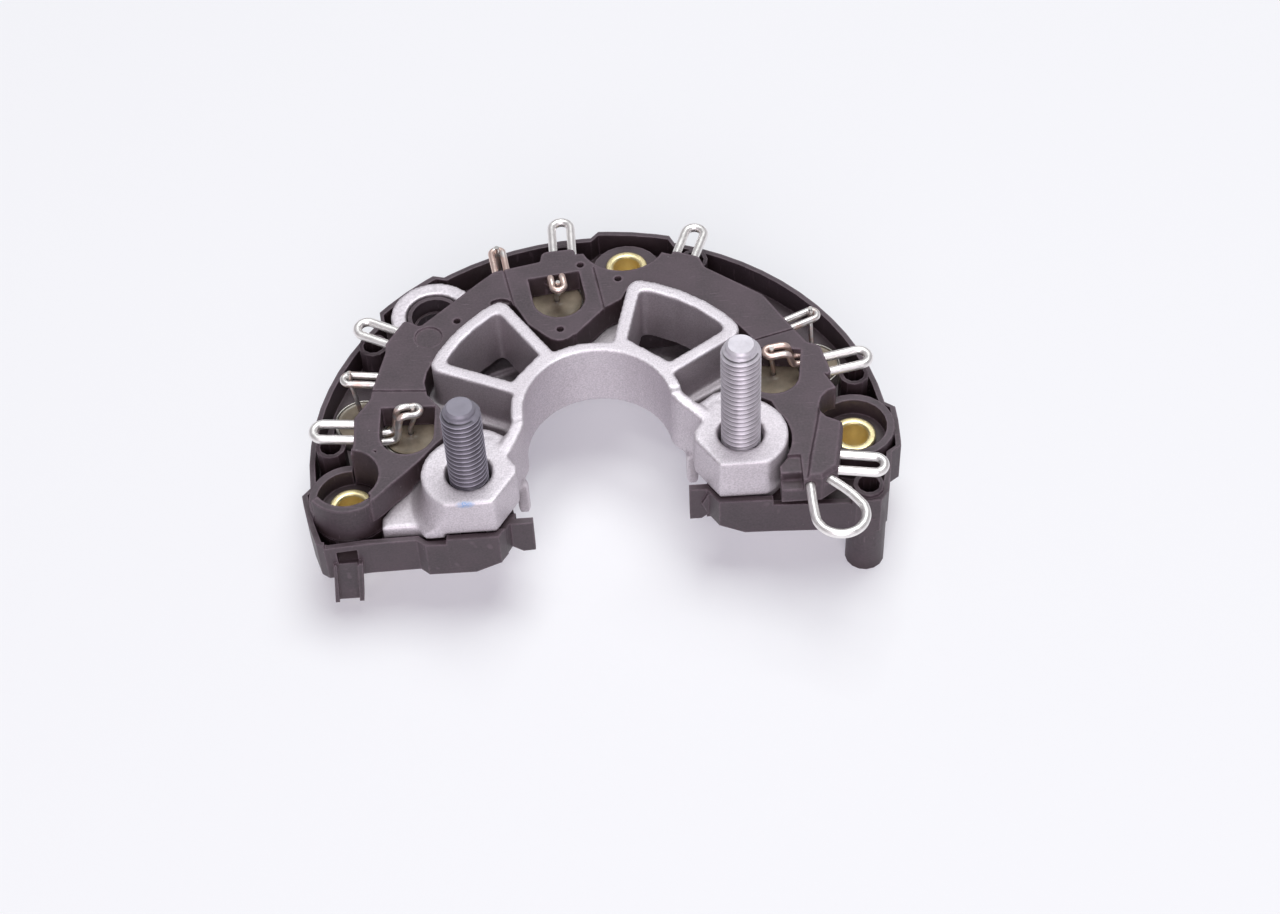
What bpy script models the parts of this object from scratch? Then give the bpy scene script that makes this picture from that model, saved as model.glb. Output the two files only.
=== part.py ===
"""Alternator rectifier: a horseshoe tray with two heat sinks, six diodes, a wiring board and two output studs.

Lengths are in millimetres until a mesh is made. While the pieces are drawn the origin is on the axis of the
bore ring at its top face, X runs along the flat ends of the horseshoe and Z points up. At the end the whole
part is set on its feet, with the middle of its outline at the origin.
"""
import math

import bmesh
import bpy
from mathutils import Matrix, Vector

MM = 0.001
GAP = 0.3            # left between two pieces that touch
SHARP_DEG = 32.0

# heights above the top of the bore ring
RING_TOP = 0.0
RING_BOTTOM = -15.3
BOSS_TOP = -1.2
LEFT_BOSS_BOTTOM = -10.5
PLATE_TOP = -10.0
PLATE_THICK = 4.0
BOARD_TOP = -3.0
BOARD_THICK = 6.5
PAD_RISE = 0.9
PAD_BEVEL = 0.55
RIM_TOP = -11.7
LEFT_FRONT_TOP = -12.4
RIGHT_FRONT_TOP = -13.2
RIM_BOTTOM = -21.7
TRENCH_FLOOR = -17.5
FLOOR_BOTTOM = -19.0
CUP_TOP = -9.8
GUIDE_TOPS = (-9.3, -9.3, -11.6, -11.6, -9.3, -10.8)
FEET_BOTTOM = -34.0
CLIP_FOOT_BOTTOM = -29.2
FINGER_BOTTOM = -23.2
NEGATIVE_THICK = 3.8
EAR_TOP = -10.3
RIVET_SEAT = -14.0
COLLAR_TOP = -4.4

# bore ring and pockets of the positive heat sink
BORE_RADIUS = 15.0
RING_WALL = 2.7
POCKET_WALL = 2.9
POCKET_OUTER_ROUNDING = 4.2
POCKET_INNER_ROUNDING = 2.4
RING_LEFT_END = ((-19.7, -10.2), (-17.9, -7.0), (-16.5, -3.9))
RING_RIGHT_END = ((16.9, 1.2), (20.2, -2.0), (22.4, -4.6))
LEFT_POCKET = ((-8.0, 14.9), 36.9, 120.6, 159.4, (-16.4, 4.5))      # corner, outer radius, its two angles, corner
RIGHT_POCKET = ((15.2, 7.2), 36.4, 30.2, 76.8, (3.8, 16.8))
PLATE_RADIUS = 46.3

# output studs and their six-sided bosses
STUD_RADIUS = 3.98
STUD_HOLE_RADIUS = 4.65
STUD_CHAMFER = 1.4
STUD_HEAD_RADIUS = 6.4
STUD_HEAD_THICK = 2.2
LEFT_STUD = (-26.3, -14.3)
RIGHT_STUD = (28.4, -8.5)
LEFT_STUD_TOP = 18.45
RIGHT_STUD_TOP = 24.8
BOSS_RADIUS = 9.6

# diodes: middle of each, and where the tip of its lead stands
CAN_RADIUS = 6.05
RESIN_RADIUS = 5.4
RESIN_THICK = 0.9
LEAD_RADIUS = 0.5
POSITIVE_CAN_TOP = -8.9
NEGATIVE_CAN_TOP = -14.9
POSITIVE_DIODES = ((-7.5, 38.4), (-38.7, 3.2), (37.0, 13.2))
POSITIVE_TIPS = ((-6.9, 36.4), (-37.6, 3.4), (36.6, 13.4))
POSITIVE_TIP_TOP = -0.9
NEGATIVE_DIODES = ((-49.5, 12.7), (-19.4, 47.0), (46.0, 21.0))
NEGATIVE_TIPS = ((-51.0, 15.5), (-19.9, 49.4), (45.9, 25.6))
NEGATIVE_TIP_TOP = -2.4

# hollow rivets
RIVETS = (("rivet_top", (8.05, 51.5)), ("rivet_left", (-51.1, -11.8)), ("rivet_right", (52.4, -1.0)))
RIVET_BORE = 2.9
RIVET_TUBE = 3.6
RIVET_FLANGE = 4.6
RIVET_FLANGE_THICK = 1.0
CUP_INNER = 6.7
CUP_OUTER = 8.3
COLLAR_START = -146.0
COLLAR_END = 84.0
COLLAR_SEAM = 2.8
TOP_PAD_RADIUS = 7.6

# tray
TRAY_RADIUS = 59.9
TRAY_WALL = 1.15
BULGE = 1.9
BULGES = ((-7.0, 6.0), (71.5, 89.5), (122.5, 140.0), (187.0, 215.0))
BULGE_RAMP = 1.6
RIM_START = -14.0
RIM_END = 200.6
RIM_STEP = 5.0
INNER_EDGE = 21.6
EAR = (-34.2, 38.2)
EAR_RADIUS = 9.4
EAR_HOLE = 6.1
EAR_BORE = 4.3
EAR_LINER_WALL = 0.9

# stator loops: foot between the legs, heading in degrees
WIRE_RADIUS = 0.95
LOOP_HALF_WIDTH = 2.05
LOOP_LENGTH = 9.4
LOOP_Z = -4.7
LOOP_SOCKET = 3.0
LOOPS = (((-49.8, 1.0), 174.0), ((-42.2, 26.6), 151.0), ((-5.7, 49.8), 91.0),
         ((21.0, 46.0), 70.0), ((48.4, 11.5), 12.0), ((48.2, -15.1), -10.0))
TAP_EYE = (46.45, -28.1)
TAP_RADIUS = 5.0
GUIDE_REACH = 5.5
FOOT_RADIUS = 4.05
GUIDE_OUTER = 3.15
GUIDE_INNER = 2.25
CLIP_WIRE = 0.72
CLIP_HALF_WIDTH = 1.25
CLIP_SOCKET = 2.2

# small clips: name, tip of the lead, heading, distance from eye to foot, heights of eye and foot
CLIPS = (
    ("negative_clip_1", NEGATIVE_TIPS[0], 172.0, 4.6, -4.6, -4.6),
    ("negative_clip_2", NEGATIVE_TIPS[1], 98.0, 6.0, -4.6, -4.6),
    ("negative_clip_3", NEGATIVE_TIPS[2], 25.0, 4.6, -4.6, -4.6),
    ("positive_clip_1", POSITIVE_TIPS[0], -82.0, 5.0, -2.0, -5.0),
    ("positive_clip_2", POSITIVE_TIPS[1], 14.0, 5.4, -2.0, -7.6),
    ("positive_clip_3", POSITIVE_TIPS[2], 184.0, 5.6, -2.0, -5.0),
)

LEFT_WALL_LEFT = -31.6
SKIRT = ((2.9, 0.0), (2.9, -0.6), (2.4, 0.2), (1.6, 0.7), (0.9, 1.8), (0.5, 3.2), (0.1, 5.0), (-0.4, 5.4))
SKIRT_ROOM = 0.9
FINGER_WIDTH = 2.5
FINGER_THICK = 1.8

# openings in the plate between pockets and bosses, in the tray under the pockets, and the step seen in one of them
LIGHTENING = (
    ((-30.9, 9.0), (-30.9, -3.0), (-22.0, -1.6), (-19.6, -1.6), (-19.2, 3.6)),
    ((19.2, 7.6), (19.4, 3.8), (29.2, 4.6), (29.2, 13.4)),
)
TRAY_WINDOWS = (
    ((-21.2, 12.0), (-13.0, 20.4), (-12.5, 23.8), (-15.6, 34.6), (-19.5, 33.8), (-31.2, 22.6), (-32.6, 15.8)),
    ((5.2, 23.0), (6.3, 31.7), (20.4, 33.0), (27.5, 25.5), (28.0, 18.5), (20.0, 13.4), (14.0, 19.2)),
)
NEGATIVE_STEP = ((-29.4, 23.2), (-22.2, 27.0), (-16.6, 29.0), (-17.2, 32.8), (-19.6, 32.6))
TRAY_RIGHT_FRONT = ((20.9, -14.0), (23.3, -17.8), (34.3, -18.1), (49.2, -18.8), (50.8, -19.8), (55.8, -19.8),
                    (57.7, -17.2))
TRAY_LEFT_FRONT = ((-56.3, -22.9), (-48.0, -22.2), (-37.8, -22.0), (-36.0, -23.6), (-21.2, -23.7), (-17.7, -17.6),
                   (-18.6, -13.2), (-21.6, -10.4), (-21.9, -6.0))
TRENCH_RIGHT_FRONT = ((23.0, -14.6), (24.3, -16.3), (35.6, -16.9), (49.4, -17.6), (56.0, -17.6))
TRENCH_LEFT_FRONT = ((-55.6, -21.7), (-48.0, -21.0), (-37.4, -20.8), (-35.6, -22.3), (-21.8, -22.4), (-19.1, -17.5))
RIB_COVER = 0.25
LEAD_ROOM = 2.0
FOOT_LEFT = -54.9
FOOT_RIGHT = -49.0
FOOT_LEAN = 1.25
FOOT_FLANGE = 0.9
BOARD_PAD = ((44.95, -1.0), (44.3, -3.6), (43.2, -8.2), (41.6, -14.5), (40.6, -19.6), (40.6, -20.35),
             (43.6, -20.35), (46.95, -17.95), (49.05, -7.6), (49.05, -6.05), (46.15, -4.45), (44.97, -2.6))
PIN_HOLES = ((-2.0, 43.1), (-6.9, 24.6), (-28.6, 28.8), (5.9, 38.3))
BOARD_SEAMS = (((-18.8, 44.5), (-16.0, 29.5)), ((0.8, 42.2), (2.7, 28.9)),
               ((-47.2, 10.6), (-34.0, 9.5)), ((31.5, 17.4), (43.0, 20.9)))


def polar(radius, degrees):
    """Point at a radius and an angle about the ring's axis."""
    return (radius * math.cos(math.radians(degrees)), radius * math.sin(math.radians(degrees)))


def arc(centre, radius, start, end, steps):
    """Points along an arc, from one angle to the other."""
    points = []
    for i in range(steps + 1):
        angle = math.radians(start + (end - start) * i / steps)
        points.append((centre[0] + radius * math.cos(angle), centre[1] + radius * math.sin(angle)))
    return points


def rounded(corners, steps=4):
    """Outline through (x, y, radius) corners, with each corner rounded by its radius."""
    points = []
    count = len(corners)
    for i, (x, y, radius) in enumerate(corners):
        here = Vector((x, y))
        before = Vector(corners[i - 1][:2]) - here
        after = Vector(corners[(i + 1) % count][:2]) - here
        half = before.angle(after) / 2
        if radius <= 0 or half > math.radians(88):
            points.append((x, y))
            continue
        reach = min(radius / math.tan(half), 0.49 * before.length, 0.49 * after.length)
        radius = reach * math.tan(half)
        middle = here + (before.normalized() + after.normalized()).normalized() * radius / math.sin(half)
        first = here + before.normalized() * reach - middle
        last = here + after.normalized() * reach - middle
        turn = math.atan2(first.x * last.y - first.y * last.x, first.dot(last))
        begin = math.atan2(first.y, first.x)
        for k in range(steps + 1):
            angle = begin + turn * k / steps
            points.append((middle.x + radius * math.cos(angle), middle.y + radius * math.sin(angle)))
    return points


def inset(points, distance):
    """Outline moved inwards by a distance; the outline runs anticlockwise."""
    moved = []
    count = len(points)
    for i in range(count):
        here = Vector(points[i])
        first = (here - Vector(points[i - 1])).normalized()
        second = (Vector(points[(i + 1) % count]) - here).normalized()
        normal_a = Vector((-first.y, first.x))
        normal_b = Vector((-second.y, second.x))
        middle = (normal_a + normal_b).normalized()
        moved.append(tuple(here + middle * distance / max(middle.dot(normal_a), 0.35)))
    return moved


def area(points):
    """Signed area of an outline, positive when it runs anticlockwise."""
    total = 0.0
    for i in range(len(points)):
        x0, y0 = points[i - 1]
        x1, y1 = points[i]
        total += x0 * y1 - x1 * y0
    return total / 2


def new_object(name, verts, faces):
    """Object from vertices in millimetres."""
    mesh = bpy.data.meshes.new(name)
    mesh.from_pydata([tuple(c * MM for c in v) for v in verts], [], faces)
    mesh.validate()
    obj = bpy.data.objects.new(name, mesh)
    bpy.context.scene.collection.objects.link(obj)
    return obj


def prism(name, outline, bottom, top):
    """Upright solid over an outline."""
    points = outline if area(outline) > 0 else outline[::-1]
    count = len(points)
    verts = [(x, y, bottom) for x, y in points] + [(x, y, top) for x, y in points]
    faces = [list(range(count))[::-1], list(range(count, 2 * count))]
    for i in range(count):
        j = (i + 1) % count
        faces.append([i, j, count + j, count + i])
    return new_object(name, verts, faces)


def tapered(name, outline, margin, bottom, shoulder, top):
    """Upright solid over an anticlockwise outline, drawn in by a margin between its shoulder and its top."""
    points = outline if area(outline) > 0 else outline[::-1]
    count = len(points)
    verts = [(x, y, bottom) for x, y in points] + [(x, y, shoulder) for x, y in points]
    verts += [(x, y, top) for x, y in inset(points, margin)]
    faces = [list(range(count))[::-1], list(range(2 * count, 3 * count))]
    for i in range(count):
        j = (i + 1) % count
        faces += [[i, j, count + j, count + i], [count + i, count + j, 2 * count + j, 2 * count + i]]
    return new_object(name, verts, faces)


def turned(name, centre, profile, steps=24):
    """Solid turned about an upright axis from a closed (radius, height) profile, anticlockwise seen from the side."""
    verts = []
    rings = []
    for radius, height in profile:
        if radius < 1e-6:
            rings.append([len(verts)])
            verts.append((centre[0], centre[1], height))
            continue
        rings.append(list(range(len(verts), len(verts) + steps)))
        for x, y in arc(centre, radius, 0, 360 * (steps - 1) / steps, steps - 1):
            verts.append((x, y, height))
    faces = []
    for i, lower in enumerate(rings):
        upper = rings[(i + 1) % len(rings)]
        for k in range(steps):
            n = (k + 1) % steps
            if len(lower) == 1 and len(upper) == 1:
                continue
            if len(lower) == 1:
                faces.append([lower[0], upper[n], upper[k]])
            elif len(upper) == 1:
                faces.append([lower[k], lower[n], upper[0]])
            else:
                faces.append([lower[k], lower[n], upper[n], upper[k]])
    return new_object(name, verts, faces)


def cylinder(name, centre, radius, bottom, top, steps=24):
    """Upright round bar."""
    return prism(name, arc(centre, radius, 0, 360 * (steps - 1) / steps, steps - 1), bottom, top)


def swept(name, path, radius, sides=8):
    """Round wire along a path of 3-D points."""
    points = [Vector(p) for p in path]
    side = (points[1] - points[0]).cross(Vector((0.13, 0.21, 1.0))).normalized()
    verts = []
    for i, point in enumerate(points):
        back = points[max(i - 1, 0)]
        ahead = points[min(i + 1, len(points) - 1)]
        along = (ahead - back).normalized()
        side = (side - along * side.dot(along)).normalized()
        up = along.cross(side)
        for k in range(sides):
            angle = 2 * math.pi * k / sides
            verts.append(point + side * math.cos(angle) * radius + up * math.sin(angle) * radius)
    faces = []
    for i in range(len(points) - 1):
        for k in range(sides):
            n = (k + 1) % sides
            faces.append([i * sides + k, i * sides + n, (i + 1) * sides + n, (i + 1) * sides + k])
    faces.append(list(range(sides))[::-1])
    faces.append(list(range(len(verts) - sides, len(verts))))
    return new_object(name, verts, faces)


def combine(target, tools, operation):
    """Join or cut one solid with others, which are used up."""
    for tool in tools:
        modifier = target.modifiers.new("combine", "BOOLEAN")
        modifier.operation = operation
        modifier.solver = "EXACT"
        modifier.object = tool
        graph = bpy.context.evaluated_depsgraph_get()
        mesh = bpy.data.meshes.new_from_object(target.evaluated_get(graph))
        used = target.data
        target.modifiers.clear()
        target.data = mesh
        bpy.data.meshes.remove(used)
        bpy.data.objects.remove(tool)
    return target


def join(target, *tools):
    """Join solids to the first one."""
    return combine(target, tools, "UNION")


def cut(target, *tools):
    """Cut solids out of the first one."""
    return combine(target, tools, "DIFFERENCE")


def box(name, x0, x1, y0, y1, z0, z1):
    """Block between its limits."""
    return prism(name, [(x0, y0), (x1, y0), (x1, y1), (x0, y1)], z0, z1)


def ring_sector(name, centre, inner, outer, start, end, bottom, top, steps):
    """Part of an upright ring between two angles."""
    outline = arc(centre, inner, end, start, steps) + arc(centre, outer, start, end, steps)
    return prism(name, outline, bottom, top)


def wall(name, path, thickness, bottom, tops):
    """Upright wall of one thickness along a path of plan points, with a height of its own at each point."""
    verts = []
    for i, point in enumerate(path):
        here = Vector(point)
        back = Vector(path[max(i - 1, 0)])
        ahead = Vector(path[min(i + 1, len(path) - 1)])
        along = (ahead - back).normalized()
        side = Vector((-along.y, along.x)) * thickness / 2
        for x, y in (here + side, here - side):
            verts += [(x, y, bottom), (x, y, tops[i])]
    faces = [[0, 1, 3, 2]]
    for i in range(0, 4 * (len(path) - 1), 4):
        faces += [[i, i + 4, i + 5, i + 1], [i + 2, i + 3, i + 7, i + 6], [i + 1, i + 5, i + 7, i + 3],
                  [i, i + 2, i + 6, i + 4]]
    last = 4 * (len(path) - 1)
    faces.append([last, last + 2, last + 3, last + 1])
    return new_object(name, verts, faces)


def finish(obj, color, roughness, metallic=0.0):
    """Clean the mesh, shade it and give the piece its own material."""
    mesh = obj.data
    work = bmesh.new()
    work.from_mesh(mesh)
    bmesh.ops.remove_doubles(work, verts=work.verts, dist=0.002 * MM)
    bmesh.ops.dissolve_limit(work, angle_limit=math.radians(0.2), verts=work.verts, edges=work.edges)
    bmesh.ops.dissolve_degenerate(work, edges=work.edges, dist=0.002 * MM)
    bmesh.ops.recalc_face_normals(work, faces=work.faces)
    work.to_mesh(mesh)
    work.free()
    mesh.name = obj.name
    mesh.shade_smooth()
    mesh.set_sharp_from_angle(angle=math.radians(SHARP_DEG))
    material = bpy.data.materials.new(obj.name)
    material.use_nodes = True
    shader = material.node_tree.nodes["Principled BSDF"]
    shader.inputs["Base Color"].default_value = (*color, 1.0)
    shader.inputs["Roughness"].default_value = roughness
    shader.inputs["Metallic"].default_value = metallic
    mesh.materials.clear()
    mesh.materials.append(material)
    return obj


BLACK = (0.045, 0.04, 0.042)
CAST = (0.62, 0.6, 0.62)
PLATE_GREY = (0.66, 0.65, 0.66)
YELLOW = (0.78, 0.62, 0.22)
RESIN = (0.24, 0.2, 0.15)
TINNED = (0.82, 0.8, 0.77)
COPPER = (0.72, 0.5, 0.42)
ZINC = (0.5, 0.5, 0.55)


def pocket(name, shape):
    """One open pocket of the casting, with the tool that opens it: round outside, straight towards the ring."""
    first, radius, begin, end, last = shape
    corners = [first, polar(radius, begin)]
    roundings = [0.0, 1.0]
    count = 5
    for i in range(1, count):
        corners.append(polar(radius, begin + (end - begin) * i / count))
        roundings.append(0.0)
    corners += [polar(radius, end), last]
    roundings += [1.0, 0.0]
    outer = [(*point, rounding * POCKET_OUTER_ROUNDING) for point, rounding in zip(corners, roundings)]
    inner = [(*point, rounding * POCKET_INNER_ROUNDING) for point, rounding in
             zip(inset(corners, POCKET_WALL), roundings)]
    return (prism(name, rounded(outer, 5), PLATE_TOP - 0.5, RING_TOP),
            prism(name + "_inner", rounded(inner, 4), PLATE_TOP - PLATE_THICK - 1, RING_TOP + 1))


def boss_outline(centre, outward):
    """Boss round towards the rim and six-sided elsewhere."""
    points = arc((0, 0), BOSS_RADIUS, -60.0, 60.0, 10)
    points += [polar(BOSS_RADIUS, angle) for angle in (120.0, 174.0, 186.0, 240.0)]
    return [(centre[0] + outward * x, centre[1] + y) for x, y in points]


def ring_path():
    """Middle line of the bore ring's wall, with the flared ends that meet the two bosses."""
    path = list(RING_LEFT_END)
    path += arc((0, 0), BORE_RADIUS + RING_WALL / 2, 190.0, 8.0, 30)
    return path + list(RING_RIGHT_END)


def ring_tops():
    """Height of the ring's wall along its path: it comes down to the bosses at both ends."""
    middle = len(ring_path()) - len(RING_LEFT_END) - len(RING_RIGHT_END)
    left = [RING_TOP - drop for drop in (1.35, 0.75, 0.2)]
    right = [RING_TOP - drop for drop in (0.1, 0.8, 1.35)]
    return left + [RING_TOP] * middle + right


def plate_outline():
    """Base of the positive heat sink, round outside and open at the front."""
    outline = [(34.0, -15.5), (37.4, -12.0)]
    outline += arc((0, 0), PLATE_RADIUS, -17.5, 196.0, 34)
    outline += [(-44.4, -20.3), (-34.0, -20.4), (-21.5, -20.8)]
    outline += ring_path()
    outline += [(24.3, -15.4)]
    return outline


def positive_heat_sink():
    """Die-cast heat sink: ring, two pockets, two bosses and the plate that holds three diodes."""
    plate_bottom = PLATE_TOP - PLATE_THICK
    sink = prism("positive_heat_sink", plate_outline(), plate_bottom, PLATE_TOP)
    left_outer, left_inner = pocket("left_pocket", LEFT_POCKET)
    right_outer, right_inner = pocket("right_pocket", RIGHT_POCKET)
    join(sink, left_outer, right_outer)
    cut(sink, left_inner, right_inner)
    ring = wall("ring", ring_path(), RING_WALL, RING_BOTTOM, ring_tops())
    left_boss = prism("left_boss", boss_outline(LEFT_STUD, -1), LEFT_BOSS_BOTTOM, BOSS_TOP)
    right_boss = prism("right_boss", boss_outline(RIGHT_STUD, 1), RIM_TOP + GAP, BOSS_TOP)
    web = prism("boss_web", [(19.8, -2.6), (20.1, -0.1), (23.5, 2.7), (25.2, 3.3), (33.2, 0.2), (28.0, -6.0)],
                PLATE_TOP - 0.4, BOSS_TOP - 0.15)
    left_web = prism("left_web", [(-17.7, -8.4), (-18.0, -5.9), (-21.4, -3.4), (-23.1, -2.8), (-31.1, -6.0), (-25.9, -11.8)],
                     PLATE_TOP - 0.4, BOSS_TOP - 0.15)
    join(sink, ring, left_boss, right_boss, web, left_web)
    join(sink, skirt())
    join(sink, finger("left_finger", -16.4, -7.2), finger("right_finger", 18.8, -2.3))
    for outline in LIGHTENING:
        cut(sink, prism("lightening", outline, plate_bottom - 1, PLATE_TOP + 1))
    for stud in (LEFT_STUD, RIGHT_STUD):
        shank = cylinder("shank", stud, STUD_HOLE_RADIUS, plate_bottom - 1, BOSS_TOP + 1)
        seat = cylinder("seat", stud, STUD_HEAD_RADIUS + GAP, plate_bottom - 1, plate_bottom + STUD_HEAD_THICK + GAP)
        cut(sink, shank, seat)
    for centre in POSITIVE_DIODES:
        cut(sink, cylinder("seat", centre, CAN_RADIUS + GAP, plate_bottom - 1, PLATE_TOP + 1, 20))
    for name, centre in RIVETS:
        cut(sink, cylinder("room", centre, CUP_OUTER + 0.5, plate_bottom - 1, PLATE_TOP + 0.5))
    cut(sink, cylinder("room", EAR, EAR_RADIUS + 0.6, plate_bottom - 1, PLATE_TOP + 0.5))
    for place in NEGATIVE_DIODES + NEGATIVE_TIPS:
        cut(sink, cylinder("room", place, LEAD_ROOM, plate_bottom - 1, PLATE_TOP + 1, 10))
    for angle in (188.5, 12.0):
        x, y = polar(BORE_RADIUS + RING_WALL / 2, angle)
        notch = box("notch", -2.2, 2.2, -0.35, 0.35, RING_TOP - 0.7, RING_TOP + 1)
        notch.data.transform(turn_and_move(angle, x, y))
        cut(sink, notch)
    return finish(sink, CAST, 0.42, 1.0)


def skirt():
    """Fillet at the foot of the left boss, which ends in a lip over the tray's front wall."""
    profile = [(0, LEFT_FRONT_TOP + 2 * GAP)]
    profile += [(BOSS_RADIUS + out, PLATE_TOP + rise) for out, rise in SKIRT]
    profile.append((0, PLATE_TOP + SKIRT[-1][1]))
    profile[1] = (profile[1][0], profile[0][1])
    solid = turned("skirt", LEFT_STUD, profile, 32)
    reach = BOSS_RADIUS * math.cos(math.radians(30.0))
    window = box("window", LEFT_STUD[0] - 2 * BOSS_RADIUS, LEFT_WALL_LEFT - GAP, LEFT_STUD[1] - reach + 0.2,
                 LEFT_STUD[1] + BOSS_RADIUS, LEFT_FRONT_TOP, BOSS_TOP)
    return combine(solid, [window], "INTERSECT")


def finger(name, x, y):
    """Round-ended tongue that hangs from the end of the ring's wall."""
    half = FINGER_WIDTH / 2
    outline = [(half, RING_BOTTOM + 1.0), (-half, RING_BOTTOM + 1.0)]
    outline += arc((0, FINGER_BOTTOM + half), half, 180.0, 360.0, 8)
    return upright(name, [(x + px, pz) for px, pz in outline], y - FINGER_THICK / 2, y + FINGER_THICK / 2)


def turn_and_move(degrees, x, y):
    """Matrix that turns about Z and then moves, in millimetres."""
    return Matrix.Translation((x * MM, y * MM, 0)) @ Matrix.Rotation(math.radians(degrees), 4, "Z")


def rim_points(radius):
    """Round part of the rim at a radius, with its four bulges."""
    corners = []
    for low, high in BULGES:
        corners += [low, low + BULGE_RAMP, high - BULGE_RAMP, high]
    angles = [angle for angle in corners if RIM_START < angle < RIM_END]
    for i in range(int((RIM_END - RIM_START) / RIM_STEP) + 1):
        angle = RIM_START + RIM_STEP * i
        if min(abs(angle - corner) for corner in corners) > 1.0:
            angles.append(angle)
    angles.append(RIM_END)
    points = []
    for angle in sorted(angles):
        out = max(min((angle - low) / BULGE_RAMP, (high - angle) / BULGE_RAMP, 1.0) for low, high in BULGES)
        points.append(polar(radius + BULGE * max(out, 0.0), angle))
    return points


def tray_outline():
    """Outer face of the tray: the rim, closed by the two stepped front walls."""
    points = list(TRAY_RIGHT_FRONT)
    points += rim_points(TRAY_RADIUS)
    points += TRAY_LEFT_FRONT
    points += arc((0, 0), INNER_EDGE, 188.0, 10.0, 22)
    points += [(24.6, -1.0), (24.6, -5.6), (21.4, -9.6)]
    return points


def guide_centres():
    """Plan position of the wire guide under each stator loop."""
    centres = []
    for (x, y), heading in LOOPS:
        dx, dy = polar(GUIDE_REACH, heading)
        centres.append((x + dx, y + dy))
    return centres


def upright(name, outline, y0, y1):
    """Solid over an outline drawn in X and Z, between two depths."""
    points = outline if area(outline) > 0 else outline[::-1]
    count = len(points)
    verts = [(x, y0, z) for x, z in points] + [(x, y1, z) for x, z in points]
    faces = [list(range(count)), list(range(count, 2 * count))[::-1]]
    for i in range(count):
        j = (i + 1) % count
        faces.append([i, count + i, count + j, j])
    return new_object(name, verts, faces)


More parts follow.
